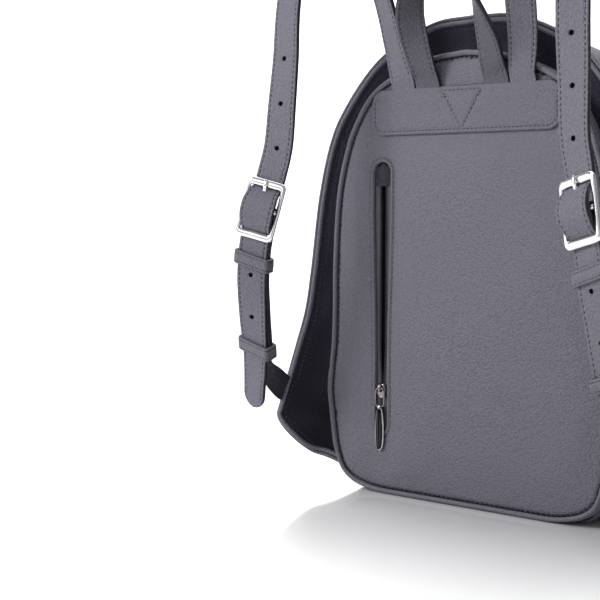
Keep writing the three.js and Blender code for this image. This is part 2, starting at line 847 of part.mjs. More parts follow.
function tongueSlot(side) {
  const slotWidth = tongueWidth + 2.2;
  const reach = loopReach + lowerThickness;
  const frames = [-0.42, 0.3].map((share) => raised(share * barAlong, barOut, slotWidth, 2 * reach));
  return ribbon(frames, side);
}

function lowerStrap(side) {
  return cut(ribbon(lowerFrames(), side), tongueSlot(side));
}

function tabCutter(side) {
  const frames = lowerFrames().slice(0, 9).map((frame) => ({
    ...frame,
    wide: frame.wide + 2 * seamGap,
    thick: frame.thick + 2 * seamGap,
  }));
  const first = frames[0];
  frames[0] = { ...first, place: first.place.clone().addScaledVector(first.tangent, -1) };
  return ribbon(frames, side);
}

// Everything rigid on the buckle is drawn flat, then set on the hanging strap
function onHang(geometry, along, out, side) {
  const { place, tangent, width, face } = hangFrame(along);
  const matrix = new THREE.Matrix4().makeBasis(width, tangent.clone().negate(), face);
  const turned = new THREE.Vector3().crossVectors(width, tangent.clone().negate());
  if (turned.dot(face) < 0) matrix.makeBasis(width.clone().negate(), tangent.clone().negate(), face);
  geometry.applyMatrix4(matrix);
  const at = place.clone().addScaledVector(face, out);
  geometry.translate(at.x, at.y, at.z);
  return side > 0 ? geometry : mirroredX(geometry);
}

function flatPlate(shape, thickness, curveSegments = 4) {
  const options = { depth: thickness, bevelEnabled: false, curveSegments };
  return new THREE.ExtrudeGeometry(shape, options).translate(0, 0, -thickness / 2);
}

function buckleFrame(side) {
  const halfWidth = buckleWidth / 2;
  const halfHeight = buckleHeight / 2;
  const shape = roundedRectangle(-halfWidth, -halfHeight, halfWidth, halfHeight, buckleCorner);
  shape.holes.push(roundedRectangle(
    buckleSide - halfWidth,
    buckleBar - halfHeight,
    halfWidth - buckleSide,
    halfHeight - buckleBar,
    buckleCorner * 0.3,
  ));
  const frame = flatPlate(shape, buckleThickness);
  const bar = new THREE.CylinderGeometry(centreBarRadius, centreBarRadius, buckleWidth - buckleSide, 10);
  bar.rotateZ(Math.PI / 2);
  return onHang(joined(frame, bar), 0, barOut, side);
}

function buckleTongue(side) {
  const shank = ribbon(tongueFrames(0), side);
  const outer = centreBarRadius + pinPlay + ringWall;
  const ring = new THREE.CylinderGeometry(outer, outer, tongueWidth, 12);
  ring.rotateZ(Math.PI / 2);
  const bore = new THREE.CylinderGeometry(
    centreBarRadius + pinPlay,
    centreBarRadius + pinPlay,
    2 * tongueWidth,
    12,
  );
  bore.rotateZ(Math.PI / 2);
  const seated = onHang(ring, 0, barOut, side);
  return cut(joined(shank, seated), onHang(bore, 0, barOut, side));
}

function keeper(side, along) {
  const stack = strapThickness + 2 * (lowerThickness + layerGap);
  const halfWidth = strapWidth / 2 + keeperPlay;
  const halfStack = stack / 2 + keeperPlay;
  const shape = roundedRectangle(
    -halfWidth - keeperWall,
    -halfStack - keeperWall,
    halfWidth + keeperWall,
    halfStack + keeperWall,
    keeperWall,
  );
  shape.holes.push(roundedRectangle(-halfWidth, -halfStack, halfWidth, halfStack, 0.5));
  const band = flatPlate(shape, keeperHeight, 1).rotateX(-Math.PI / 2);
  return onHang(band, along, (strapThickness - stack) / 2, side);
}

// Carrying handle: rises from the patch and twists until it lies flat across the top
const handleRows = table(
  ['across', 'out', 'up', 'turn'],
  [
    [1.01, 0.06, 0.16, 6],
    [1.04, 0.15, 0.34, 18],
    [0.98, 0.28, 0.6, 48],
    [0.72, 0.34, 0.86, 78],
    [0.34, 0.36, 0.97, 90],
    [0, 0.36, 1, 90],
  ],
);

function handle() {
  const root = rootFrames(-handleRootX);
  const points = handleRows.map(({ across, out, up }) => (
    new THREE.Vector3(-across * handleRootX, -strapThickness - out * handleRise, patchTop + up * handleRise)
  ));
  const angles = handleRows.map(({ turn }) => new THREE.Vector3(turn, 0, 0));
  const half = [root.at(-1).place, ...points];
  const turning = [new THREE.Vector3(0, 0, 0), ...angles];
  const mirrored = half.slice(0, -1).reverse().map((p) => new THREE.Vector3(-p.x, p.y, p.z));
  const turnedBack = turning.slice(0, -1).reverse().map((a) => new THREE.Vector3(180 - a.x, 0, 0));
  const arch = framesAlong([...half, ...mirrored], [...turning, ...turnedBack], handleSteps)
    .map((frame) => ({ ...frame, wide: rootWidth, thick: strapThickness }));
  const start = root.slice(0, -1);
  const end = start.slice().reverse().map((frame) => {
    const place = frame.place.clone();
    place.x *= -1;
    return { ...frame, place, width: frame.width.clone().negate(), face: frame.face.clone() };
  });
  return joined(ribbon(alignedFaces([...start, ...arch, ...end])));
}

// Keeps the width and the face of neighbouring frames on the same side
function alignedFaces(frames) {
  const result = [frames[0]];
  for (const frame of frames.slice(1)) {
    const before = result.at(-1);
    const width = frame.width.dot(before.width) < 0 ? frame.width.clone().negate() : frame.width;
    const face = frame.face.dot(before.face) < 0 ? frame.face.clone().negate() : frame.face;
    result.push({ ...frame, width, face });
  }
  return result;
}

function yokePatch() {
  const shape = roundedRectangle(
    -patchHalfWidth,
    patchTop - patchHeight,
    patchHalfWidth,
    patchTop,
    patchCorner,
  );
  const patch = plate(shape, -seamGap - patchThickness, -seamGap);
  const slotDepth = 2 * seamGap + rootThickness;
  const slotWidth = strapRootX - handleRootX + rootWidth + 2 * seamGap;
  const roots = [-1, 1].map((side) => {
    const slot = new THREE.BoxGeometry(slotWidth, 2 * slotDepth, 2 * rootDepth + 2);
    return slot.translate((side * (strapRootX + handleRootX)) / 2, -seamGap, patchTop);
  });
  return cut(patch, ...roots);
}

const bag = new THREE.Group();
const sides = [['left', -1], ['right', 1]];

const tabCutters = sides.map(([, side]) => tabCutter(side));
bag.add(piece('front_shell', cut(frontShell(), ...tabCutters), leather));
bag.add(piece('rear_gusset', cut(gussetRing(), ...tabCutters), darkLeather));
bag.add(piece('rim_piping', cut(piping(rimPipingLoop, rimPipingRadius), ...tabCutters), leather));
bag.add(piece('back_panel', cut(panelBody(), plate(windowShape(0), -1, panelThickness + 1)), leather));
bag.add(piece('panel_lip', piping(lipLoop, lipRadius), leather));
bag.add(piece('yoke_patch', yokePatch(), leather));
bag.add(piece('pocket_pouch', pocketPouch(), cloth));
bag.add(piece('zip_garage', zipGarage(), leather));
bag.add(piece('zip_slider', zipSlider(), gunmetal));
bag.add(piece('zip_link', zipLink(), gunmetal));
bag.add(piece('zip_puller', zipPuller(), gunmetal));
bag.add(piece('carry_handle', handle(), leather));
for (const [name, side] of sides) {
  bag.add(piece(`zip_tape_${name}`, zipTape(side), cloth));
  bag.add(piece(`shoulder_strap_${name}`, shoulderStrap(side), leather));
  bag.add(piece(`lower_strap_${name}`, lowerStrap(side), leather));
  bag.add(piece(`buckle_frame_${name}`, buckleFrame(side), chrome));
  bag.add(piece(`buckle_tongue_${name}`, buckleTongue(side), chrome));
  bag.add(piece(`keeper_upper_${name}`, keeper(side, keeperAlong.upper), leather));
  bag.add(piece(`keeper_lower_${name}`, keeper(side, keeperAlong.lower), leather));
}

// The flat of the base runs from the rim at the bottom to where the front starts to round
const baseBack = outlineRows.at(-1).rimY * bagDepth;
const baseFront = frontRows[0].deep * bagDepth;
bag.position.y = -(baseBack + baseFront) / 2;

const model = new THREE.Group();
model.add(bag);

export default model;
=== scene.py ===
"""Looks of the anti-theft backpack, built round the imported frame.

Lengths in the tables are millimetres in the part's own frame, where the back panel's face
is at Y = 0. place_in_row turns them into metres in the row frame.
"""
import math

import bmesh
import bpy
import numpy as np
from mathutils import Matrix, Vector, noise
from mathutils.geometry import delaunay_2d_cdt


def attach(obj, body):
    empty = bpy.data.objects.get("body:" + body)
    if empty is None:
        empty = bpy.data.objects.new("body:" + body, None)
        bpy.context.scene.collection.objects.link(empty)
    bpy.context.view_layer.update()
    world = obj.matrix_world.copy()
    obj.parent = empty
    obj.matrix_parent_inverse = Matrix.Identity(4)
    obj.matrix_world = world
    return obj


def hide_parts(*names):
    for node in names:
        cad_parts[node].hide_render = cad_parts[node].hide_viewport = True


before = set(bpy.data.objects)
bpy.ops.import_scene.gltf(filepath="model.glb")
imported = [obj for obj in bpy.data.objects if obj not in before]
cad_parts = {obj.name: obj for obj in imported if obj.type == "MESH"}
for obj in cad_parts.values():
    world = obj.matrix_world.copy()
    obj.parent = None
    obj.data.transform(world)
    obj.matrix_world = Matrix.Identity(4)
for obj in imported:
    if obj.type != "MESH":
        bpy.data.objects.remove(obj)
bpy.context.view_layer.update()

# Body of the bag
BAG_HEIGHT = 380.0
BAG_DEPTH = 125.0
EAR_HALF_SPAN = 178.0
SHELL_WALL = 3.0
SEAM_GAP = 0.35
FLARE_DEPTH = 46.0
FLARE_CURVE = 0.25
VALLEY_DEPTH = 25.0
VALLEY_SHARE = 0.35
RIM_PIPING = 1.85
BASE_MIDDLE = 47.0
LOOP_HALF = 210
FLARE_START = 0.33
FRONT_RADIUS = 150.0
FRONT_SEAM_SIZE = 0.975
FRONT_STITCH = 4.2
VALLEY_STITCH = 5.4

# Back panel, its lip and its patch
PANEL_HALF_WIDTH = 131.0
PANEL_HEIGHT = 352.0
PANEL_THICKNESS = 9.0
LIP_RADIUS = 2.2
LIP_EDGE = 0.3
GUSSET_SEAT = 12.5
PATCH_HALF_WIDTH = 84.5
PATCH_HEIGHT = 36.0
PATCH_CORNER = 11.0
PATCH_TOP = 325.0
ROOT_THICKNESS = 1.0
PANEL_WALL = 1.6
PANEL_STITCH = 2.0
PATCH_WALL = 1.2
PATCH_HEM = 3.0
FACE_INSET = 2 * LIP_RADIUS + LIP_EDGE - 0.5
NOTCH_Z = 97.0
PILLOW_CAP = 2.2
PILLOW_FRAMES = 20
PILLOW_CLOTH = {
    "quality": 6, "mass": 0.4, "air_damping": 2, "uniform_pressure_force": 3.0,
    "tension_stiffness": 18, "compression_stiffness": 18, "shear_stiffness": 8, "bending_stiffness": 6,
}

# Straps, handle, buckle and keepers
STRAP_WIDTH = 25.0
ROOT_WIDTH = 22.0
STRAP_THICKNESS = 3.8
LOWER_THICKNESS = 2.5
STRAP_ROOT_X = 53.4
HANDLE_ROOT_X = 30.6
HANDLE_RISE = 88.0
HOLE_RADIUS = 1.9
HOLE_DEPTH = 3.1
TONGUE_HOLE = 14.8
BULGE_SLACK = 2.7
HOLE_PITCH = 35.0
LAYER_GAP = 0.35
BUCKLE_HEIGHT = 48.0
BUCKLE_WIDTH = 33.0
BUCKLE_BAR = 6.2
BUCKLE_SIDE = 3.3
BUCKLE_CORNER = 5.0
BUCKLE_THICKNESS = 3.0
CENTRE_BAR = 1.5
TONGUE_RADIUS = 1.1
TONGUE_WIDTH = 3.4
KEEPER_HEIGHT = 11.0
KEEPER_PLAY = 0.5
BUCKLE_GAP = 0.6
BUCKLE_SHARE = 0.486
HANG_COUNT = 84
KEEPER_ALONG = {"upper": -41.5, "lower": -114.5}
KEEPER_SLANT = 0.2
JOIN_BELOW = 4.0
JOIN_LENGTH = 6.0
JOIN_SLACK = 0.9
FOLD_END = KEEPER_ALONG["lower"] - KEEPER_HEIGHT
TIP_LENGTH = STRAP_WIDTH / 2
SECTION_SHARES = (0.0, 0.3, 0.52, 0.62, 0.68, 0.72, 0.755, 0.79, 0.83, 0.87, 0.91, 0.945, 0.97, 0.988, 1.0)
EDGE_ROUND = 1.15
EDGE_PAINT_WIDTH = 0.42
BULGE_ROUNDNESS = 0.75
BULGE_SPREAD = 3.6
TAIL_START = KEEPER_ALONG["lower"] + 20
TAIL_NARROWING = 2.6
TAB_STEPS = 60
TAB_SHARES = (0.0, 0.35, 0.7, 0.85, 1.0)
TAB_WIDTHS = (22.0, 19.5, 15.5, 18.0, STRAP_WIDTH)

# Zipped pocket
POCKET_X = -76.0
WINDOW_HALF_WIDTH = 7.8
WINDOW_BOTTOM = 50.0
WINDOW_TOP = 268.0
WINDOW_DRAWN_IN = 2.5
WELT_WIDTH = 2.6
WELT_STITCH = 3.7
GARAGE_LENGTH = 18.0
GARAGE_HEM = 3.6
COIL_PITCH = 1.35
TAPE_DEPTH = 2.8
TAPE_OPEN_WIDTH = 4.8
POUCH_WIDTH = 118.0
POUCH_DEPTH = 11.0
POUCH_MARGIN = 5.0
SLIDER_Z = 84.0
SLIDER_WIDTH = 9.0
SLIDER_LENGTH = 12.0
SLIDER_THICKNESS = 3.2
LINK_WIDTH = 8.6
LINK_LENGTH = 15.4
LINK_WIRE = 0.65
PULLER_LENGTH = 36.0
PULLER_WIDTH = 9.0
PULLER_THICKNESS = 1.6
INLAY_SHARE = 0.82
INLAY_SHIFT = 0.75
PIN_PLAY = 0.35
SLIDER_BACK = TAPE_DEPTH - SEAM_GAP
SLIDER_FRONT = SLIDER_BACK - SLIDER_THICKNESS
LINK_Y = SLIDER_FRONT - LINK_WIRE - PIN_PLAY
LINK_Z = SLIDER_Z + SLIDER_LENGTH * 0.2
PULLER_EYE_Z = LINK_Z - LINK_LENGTH
PULLER_REST = np.array([[POCKET_X, WINDOW_BOTTOM - 20.0], [POCKET_X, WINDOW_BOTTOM]])

# Thread
STITCH_PITCH = 4.0
STITCH_LENGTH = 2.8
THREAD_RADIUS = 0.42
STRAP_STITCH_INSET = 2.7

# Stage, camera, and the reach of the painted shade near the ground, in metres and degrees
STAGE_BEND = 1.6
STAGE_RADIUS = 1.2
FLOOR_FOOT = (1 / 0.17, 1 / 0.11, 0.0)
SHADED_FOOT_RANGE = (0.04, 0.26)
CAMERA_PLACE = (0.5464, -0.8958, 0.2376)
CAMERA_TILT = 85.65
CAMERA_TURN = 39.83
CAMERA_LENS = 78.42

UP = np.array([0.0, 0.0, 1.0])


def table(names, rows):
    return [dict(zip(names, row)) for row in rows]


OUTLINE_ROWS = table(
    ["rim_x", "rim_z", "rim_y", "body_x", "body_z", "panel_x", "panel_z"],
    [
        [0.000, 1.000, 0.112, 0.000, 0.974, 0.000, 1.000],
        [0.213, 0.992, 0.112, 0.202, 0.966, 0.244, 0.989],
        [0.506, 0.926, 0.104, 0.472, 0.908, 0.640, 0.926],
        [0.708, 0.813, 0.080, 0.669, 0.800, 0.809, 0.841],
        [0.764, 0.753, 0.064, 0.725, 0.737, 0.863, 0.790],
        [0.815, 0.642, 0.040, 0.775, 0.632, 0.924, 0.699],
        [0.848, 0.468, 0.000, 0.803, 0.463, 0.958, 0.540],
        [0.868, 0.384, -0.024, 0.812, 0.376, 0.962, 0.432],
        [0.910, 0.313, -0.040, 0.815, 0.303, 0.969, 0.347],
        [0.989, 0.171, -0.088, 0.815, 0.163, 1.000, 0.227],
        [1.000, 0.147, -0.096, 0.812, 0.137, 0.985, 0.182],
        [0.983, 0.129, -0.096, 0.806, 0.116, 0.969, 0.136],
        [0.927, 0.097, -0.064, 0.792, 0.087, 0.947, 0.091],
        [0.848, 0.063, 0.016, 0.758, 0.055, 0.893, 0.043],
        [0.775, 0.055, 0.048, 0.702, 0.026, 0.817, 0.020],
        [0.676, 0.038, 0.072, 0.629, 0.008, 0.718, 0.007],
        [0.562, 0.000, 0.092, 0.551, 0.000, 0.580, 0.000],
        [0.000, 0.000, 0.092, 0.000, 0.000, 0.000, 0.000],
    ],
)
FRONT_CENTRE = 0.49
# Front dome: depth and size, as shares
FRONT_ROWS = [
    (0.368, 1.0), (0.66, 1.0), (0.80, 0.982), (0.90, 0.94), (0.965, 0.86), (1.0, 0.62),
    (1.012, 0.3), (1.016, 0.02),
]
ROUTE_COLUMNS = ["across", "deep", "up", "turn", "lift"]
SHOULDER_ROWS = table(ROUTE_COLUMNS, [
    [0.318, -0.076, 0.932, 14, 0],
    [0.338, -0.170, 1.032, 22, 0],
    [0.372, -0.270, 1.112, 28, 0],
    [0.470, -0.370, 1.166, 26, 0],
    [0.580, -0.440, 1.160, 10, 0],
    [0.655, -0.474, 1.106, 6, 0],
    [0.690, -0.484, 1.020, 4, 0],
    [0.700, -0.492, 0.920, 0, 0],
])
HANGING_ROWS = table(ROUTE_COLUMNS, [
    [0.714, -0.506, 0.824, -8, 0],
    [0.727, -0.522, 0.735, -13, 0],
    [0.753, -0.538, 0.682, -16, 0],
    [0.786, -0.572, 0.612, -19, 0],
    [0.817, -0.602, 0.542, -19, 0],
    [0.840, -0.596, 0.468, -17, 0],
    [0.865, -0.544, 0.378, -10, 0],
    [0.886, -0.488, 0.300, 0, 0],
    [0.926, -0.432, 0.223, 5, 0],
    [0.951, -0.400, 0.178, 6, 0],
])
TAB_ROWS = table(ROUTE_COLUMNS, [
    [0.912, -0.345, 0.262, 0, -40],
    [0.926, -0.240, 0.238, 0, -60],
    [0.938, -0.160, 0.220, 0, -67],
    [0.946, -0.090, 0.207, 0, -70],
    [0.944, -0.040, 0.203, 0, -70],
])
HANDLE_ROWS = table(["across", "out", "up", "turn"], [
    [1.01, 0.06, 0.16, 6],
    [1.04, 0.15, 0.34, 18],
    [0.98, 0.28, 0.6, 48],
    [0.72, 0.34, 0.86, 78],
    [0.34, 0.36, 0.97, 90],
    [0, 0.36, 1, 90],
])
# Round the panel's side and inside: inset and depth
PANEL_SIDE = [
    (1.2, 1.0), (0.3, 2.1), (0.0, 3.0), (0.0, 4.7), (0.4, 5.3), (0.0, 5.9), (0.0, 8.2), (0.7, 8.9),
    (16.0, 9.0),
]
PANEL_INSIDE = [(16.0, 7.2), (6.0, 7.0), (3.2, 2.6)]
# Shell's edge: distance inwards and down from the rim
SHELL_EDGE = [(3.0, 14.0), (3.0, 2.2), (2.75, 0.9), (2.2, 0.25), (1.5, 0.0), (0.8, 0.2), (0.25, 0.8)]
# Buckle: inset as a share of its side or bar, height as a share of half its thickness
BUCKLE_SECTION = [
    (0.0, -0.45), (0.05, -0.85), (0.16, -1.0), (0.84, -1.0), (0.95, -0.85), (1.0, -0.45),
    (1.0, 0.2), (0.96, 0.55), (0.84, 0.85), (0.68, 1.0), (0.5, 1.05), (0.32, 1.0), (0.16, 0.85),
    (0.04, 0.55), (0.0, 0.2),
]
# Keeper: wall outwards, place as a share of half its height
KEEPER_SECTION = [
    (0.0, -0.9), (0.0, 0.9), (0.35, 0.985), (1.1, 1.0), (1.75, 0.97), (2.05, 0.9), (2.15, 0.76),
    (1.92, 0.66), (1.92, 0.60), (2.2, 0.5), (2.3, 0.0), (2.2, -0.5), (1.92, -0.60), (1.92, -0.66),
    (2.15, -0.76), (2.05, -0.9), (1.75, -0.97), (1.1, -1.0), (0.35, -0.985),
]
# Stitch: place along it, thickness and rise, as shares
STITCH_STATIONS = [
    (-1.0, 0.3, -0.9), (-0.72, 0.9, -0.15), (0.0, 1.0, 0.25), (0.72, 0.9, -0.15), (1.0, 0.3, -0.9),
]
# Zip: height and how far it is open, as shares
TAPE_ROWS = [(0, 0), (0.1, 0), (0.2, 0.55), (0.3, 1), (0.9, 1), (1, 1)]
TRIANGLE = np.array([
    [-17.5, PATCH_TOP - 3.4], [17.5, PATCH_TOP - 3.4], [0.0, PATCH_TOP - PATCH_HEIGHT + 3.2],
])
LIGHT_ROWS = table(["name", "place", "target", "size", "power"], [
    ["key", (-1.3, -2.0, 1.6), (0, 0, 0.2), (0.9, 0.9), 54.0],
    ["card", (-1.8, -1.3, 0.5), (0, 0, 0.2), (1.5, 1.0), 7.0],
    ["buckle_card", (-0.3, -2.2, 0.8), (-0.15, 0, 0.2), (1.2, 0.9), 4.0],
    ["fill", (2.0, -1.6, 1.0), (0, 0, 0.2), (1.6, 1.6), 4.0],
    ["top", (0.0, 0.2, 2.4), (0, 0, 0.2), (2.4, 2.4), 30.0],
    ["backdrop", (-0.9, 1.1, 2.6), (-1.9, 2.3, 0.7), (2.6, 1.2), 75.0],
])


# Curves and meshes

def unit(vectors):
    length = np.linalg.norm(vectors, axis=-1, keepdims=True)
    return vectors / np.maximum(length, 1e-9)


def curve_point(points, share):
    """A point on the centripetal curve through points, the same curve as in the part."""
    last = len(points) - 1
    place = share * last
    i = min(int(place), last - 1)
    w = place - i
    p1, p2 = points[i], points[i + 1]
    p0 = points[i - 1] if i > 0 else 2 * points[0] - points[1]
    p3 = points[i + 2] if i + 2 <= last else 2 * points[-1] - points[-2]
    d0, d1, d2 = (np.dot(b - a, b - a) ** 0.25 for a, b in ((p0, p1), (p1, p2), (p2, p3)))
    d1 = d1 if d1 > 1e-4 else 1.0
    d0 = d0 if d0 > 1e-4 else d1
    d2 = d2 if d2 > 1e-4 else d1
    t1 = ((p1 - p0) / d0 - (p2 - p0) / (d0 + d1) + (p2 - p1) / d1) * d1
    t2 = ((p2 - p1) / d1 - (p3 - p1) / (d1 + d2) + (p3 - p2) / d2) * d1
    square = 3 * (p2 - p1) - 2 * t1 - t2
    cube = 2 * (p1 - p2) + t1 + t2
    return p1 + t1 * w + square * w ** 2 + cube * w ** 3


def even_shares(points, count):
    """Shares along the curve that are evenly spaced by length."""
    steps = np.linspace(0, 1, 201)
    dense = np.array([curve_point(points, s) for s in steps])
    lengths = run_lengths(dense)
    return np.interp(np.linspace(0, lengths[-1], count + 1), lengths, steps)


def run_lengths(points):
    steps = np.linalg.norm(np.diff(points, axis=0), axis=1)
    return np.concatenate([[0.0], np.cumsum(steps)])


def sampled(values, lengths, where):
    """Values of a line that is known by its lengths, read off at one length or at many."""
    return np.stack([np.interp(where, lengths, values[:, k]) for k in range(3)], axis=-1)


def points_from(*values):
    """Points from their coordinates, each an array or one number for all of them."""
    return np.stack(np.broadcast_arrays(*values), axis=1)


def round_way(count):
    """Cosines and sines of even steps round a circle."""
    turn = np.linspace(0, 2 * math.pi, count, endpoint=False)
    return np.cos(turn), np.sin(turn)


def place_in_row(points):
    moved = np.array(points, float)
    moved[:, 1] -= BASE_MIDDLE
    return moved / 1000.0


def new_object(name, data):
    made = bpy.data.objects.new(name, data)
    bpy.context.scene.collection.objects.link(made)
    return made


def new_mesh(name, points, faces):
    """An object in the row frame, from points in millimetres."""
    mesh = bpy.data.meshes.new(name)
    mesh.from_pydata(place_in_row(points).tolist(), [], faces)
    return new_object(name, mesh)


def mesh_piece(name, points, faces, look, nodes=(), body="bag"):
    """A smooth mesh, facing outwards, that rides on a body and stands for CAD nodes."""
    made = new_mesh(name, points, faces)
    made.data.validate()
    made.data.materials.append(look)
    made.data.polygons.foreach_set("use_smooth", [True] * len(made.data.polygons))
    face_outwards(made)
    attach(made, body)
    if nodes:
        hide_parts(*nodes)
    return made


def grid_faces(rows, columns, ends=False, endless=False):
    """Quads between equal-sized rings, numbered ring by ring."""
    faces = []
    for i in range(rows if endless else rows - 1):
        here, after = i * columns, (i + 1) % rows * columns
        for j in range(columns):
            k = (j + 1) % columns
            faces.append((here + j, here + k, after + k, after + j))
    if ends:
        faces.append(tuple(reversed(range(columns))))
        faces.append(tuple(range((rows - 1) * columns, rows * columns)))
    return faces


def copied_faces(faces, size, count):
    """The faces of count copies of a mesh with size points."""
    return [tuple(v + i * size for v in face) for i in range(count) for face in faces]


def rings_piece(name, rings, look, slot, nodes=(), body="bag", **kind):
    """A loft through rings of points."""
    faces = grid_faces(len(rings), len(rings[0]), **kind)
    return mesh_piece(name, np.concatenate(rings), faces, look, nodes, body)


def face_outwards(made):
    shape = bmesh.new()
    shape.from_mesh(made.data)
    bmesh.ops.remove_doubles(shape, verts=shape.verts, dist=1e-6)
    bmesh.ops.recalc_face_normals(shape, faces=shape.faces)
    shape.to_mesh(made.data)
    shape.free()
    made.data.update()


def grain_noise(points, size, shift=0.0):
    """Smooth noise from -1 to 1, with features of about size millimetres."""
    return np.array([
        noise.noise(Vector((p[0] / size + shift, p[1] / size, p[2] / size))) for p in points
    ])


def smoothstep(low, high, value):
    share = np.clip((value - low) / (high - low), 0, 1)
    return share * share * (3 - 2 * share)


def ridge(distance, width):
    """A soft bump of height 1 at distance 0."""
    return np.exp(-(distance / width) ** 2)


# Stitches

def stitch_template(length, radius):
    cosines, sines = round_way(6)
    rings = [
        points_from(along * length / 2, radius * size * cosines, radius * (size * sines + rise))
        for along, size, rise in STITCH_STATIONS
    ]
    return np.concatenate(rings), grid_faces(len(rings), len(cosines), ends=True)


def stitch_run(line, normals, closed=False, pitch=STITCH_PITCH):
    """Places, directions and normals of the stitches along a line."""
    path = np.vstack([line, line[:1]]) if closed else line
    ups = np.vstack([normals, normals[:1]]) if closed else normals
    lengths = run_lengths(path)
    count = max(int(round(lengths[-1] / pitch)), 1)
    middles = (np.arange(count) + 0.5) * lengths[-1] / count
    before, after = (sampled(path, lengths, middles + shift * STITCH_LENGTH / 2) for shift in (-1, 1))
    direction = unit(after - before)
    up = unit(sampled(ups, lengths, middles))
    up = unit(up - direction * np.sum(up * direction, axis=1, keepdims=True))
    return sampled(path, lengths, middles), direction, up


def stitching(name, runs, radius=THREAD_RADIUS, length=STITCH_LENGTH):
    """One piece with every stitch of the given runs."""
    template, faces = stitch_template(length, radius)
    points = []
    for places, direction, up in runs:
        side = np.cross(direction, up)
        points += [p + template @ np.stack(axes) for p, *axes in zip(places, direction, side, up)]
    faces = copied_faces(faces, len(template), len(points))
    mesh_piece(name, np.concatenate(points), faces, THREAD)


# Materials

class Look:
    """A material, with short ways to add nodes and to feed them."""

    def __init__(self, name):
        self.material = bpy.data.materials.new(name)
        self.material.use_nodes = True
        self.tree = self.material.node_tree
        self.place = self.add("TexCoord", {}, "Object")

    def feed(self, node, inputs):
        """Sets a node's inputs, each to a value or to another node's output."""
        for key, value in inputs.items():
            if isinstance(value, bpy.types.NodeSocket):
                self.tree.links.new(value, node.inputs[key])
            else:
                node.inputs[key].default_value = value

    def add(self, kind, inputs, output=0, **settings):
        """One output of a new node."""
        node = self.tree.nodes.new("ShaderNode" + kind)
        for key, value in settings.items():
            setattr(node, key, value)
        self.feed(node, inputs)
        return node.outputs[output]

    def noise(self, scale, detail, output="Fac", place=None):
        place = self.place if place is None else place
        return self.add("TexNoise", {"Vector": place, "Scale": scale, "Detail": detail}, output)

    def wave(self, scale, distortion, direction):
        inputs = {"Vector": self.place, "Scale": scale, "Distortion": distortion, "Detail": 1.0}
        return self.add("TexWave", inputs, "Fac", bands_direction=direction)

    def stretched(self, scale):
        return self.add("Mapping", {"Vector": self.place, "Scale": scale})

    def mix(self, share, first, second):
        return self.add("Mix", {0: share, 6: first, 7: second}, 2, data_type="RGBA")

    def ranged(self, value, from_low, from_high, to_low=0.0, to_high=1.0):
        return self.add("MapRange", {
            "Value": value, "From Min": from_low, "From Max": from_high, "To Min": to_low, "To Max": to_high,
        }, "Result")

    def bump(self, height, strength, distance, under=None):
        inputs = {"Strength": strength, "Distance": distance, "Height": height}
        if under is not None:
            inputs["Normal"] = under
        return self.add("Bump", inputs, "Normal")

    def shade(self, inputs):
        self.feed(self.tree.nodes["Principled BSDF"], inputs)
        return self.material


def tint(colour, factor=1.0, lift=0.0):
    """A colour times a factor, with its alpha."""
    return tuple(min(1.0, factor * c + lift) for c in colour) + (1.0,)


def leather_look(name, colour, roughness=0.55, grain=1.0, shine=0.42, foot=1.0):
    """Pebbled leather: rounded cells with dark creases between them, patchy and with wear at its edges; with
    foot below 1, painted shade darkens it towards the bottom.
    """
    look = Look(name)
    warp = look.noise(260.0, 2.0, "Color")
    moved = look.add("VectorMath", {0: warp, 1: (0.0011,) * 3, 2: look.place}, operation="MULTIPLY_ADD")
    cells = look.add("TexVoronoi", {"Vector": moved, "Scale": 620.0}, "Distance", feature="F1")
    patchy = look.noise(11.0, 1.0)
    pebble = look.ranged(cells, 0.15, 0.75, 1.0, 0.0)
    grained = look.mix(look.ranged(pebble, 0.0, 0.7), tint(colour, 0.76), tint(colour))
    patched = look.mix(look.ranged(patchy, 0.35, 0.7, 0.0, 0.25), grained, tint(colour, 1.13))
    edge = look.add("NewGeometry", {}, "Pointiness")
    wear_and_shade = look.mix(look.ranged(edge, 0.53, 0.66, 0.0, 0.25), patched, tint(colour, 1.35, 0.012))
    # Painted shade: with foot below 1, the leather darkens towards the bottom, like shade gathered low in a
    # recess.
    if foot < 1:
        height = look.add("SeparateXYZ", {0: look.place}, "Z")
        wear_and_shade = look.mix(look.ranged(height, *SHADED_FOOT_RANGE), tint(colour, foot), wear_and_shade)
    pores = look.bump(look.noise(1900.0, 3.0), 0.25 * grain, 0.00015)
    return look.shade({
        "Base Color": wear_and_shade,
        "Roughness": look.ranged(patchy, 0.3, 0.75, roughness - 0.07, roughness + 0.09),
        "Specular IOR Level": shine,
        "Normal": look.bump(pebble, 0.85 * grain, 0.0004, pores),
    })


def cloth_look(name, colour, scale):
    """Woven cloth: two crossed bands of threads with a little fuzz."""
    look = Look(name)
    warp, weft = (look.wave(scale, 0.6, axis) for axis in ("X", "Z"))
    weave = look.add("Math", {0: warp, 1: weft}, operation="MAXIMUM")
    woven = look.mix(weave, tint(colour, 0.45), tint(colour))
    fuzz = look.ranged(look.noise(900.0, 3.0), 0.4, 0.7, 0.0, 0.5)
    return look.shade({
        "Base Color": look.mix(fuzz, woven, tint(colour, 1.3)),
        "Roughness": 0.9,
        "Sheen Weight": 0.25,
        "Normal": look.bump(weave, 0.6, 0.0002),
    })


def metal_look(name, colour, roughness):
    """Polished metal with faint smudges and hairline scratches."""
    look = Look(name)
    smudge = look.noise(120.0, 4.0)
    scratches = look.noise(420.0, 2.0, place=look.stretched((1.0, 1.0, 14.0)))
    return look.shade({
        "Base Color": look.mix(look.ranged(smudge, 0.4, 0.65), tint(colour, 0.86), tint(colour)),
        "Metallic": 1.0,
        "Roughness": look.ranged(smudge, 0.35, 0.7, roughness * 0.75, roughness * 1.5),
        "Normal": look.bump(scratches, 0.25, 0.00002),
    })


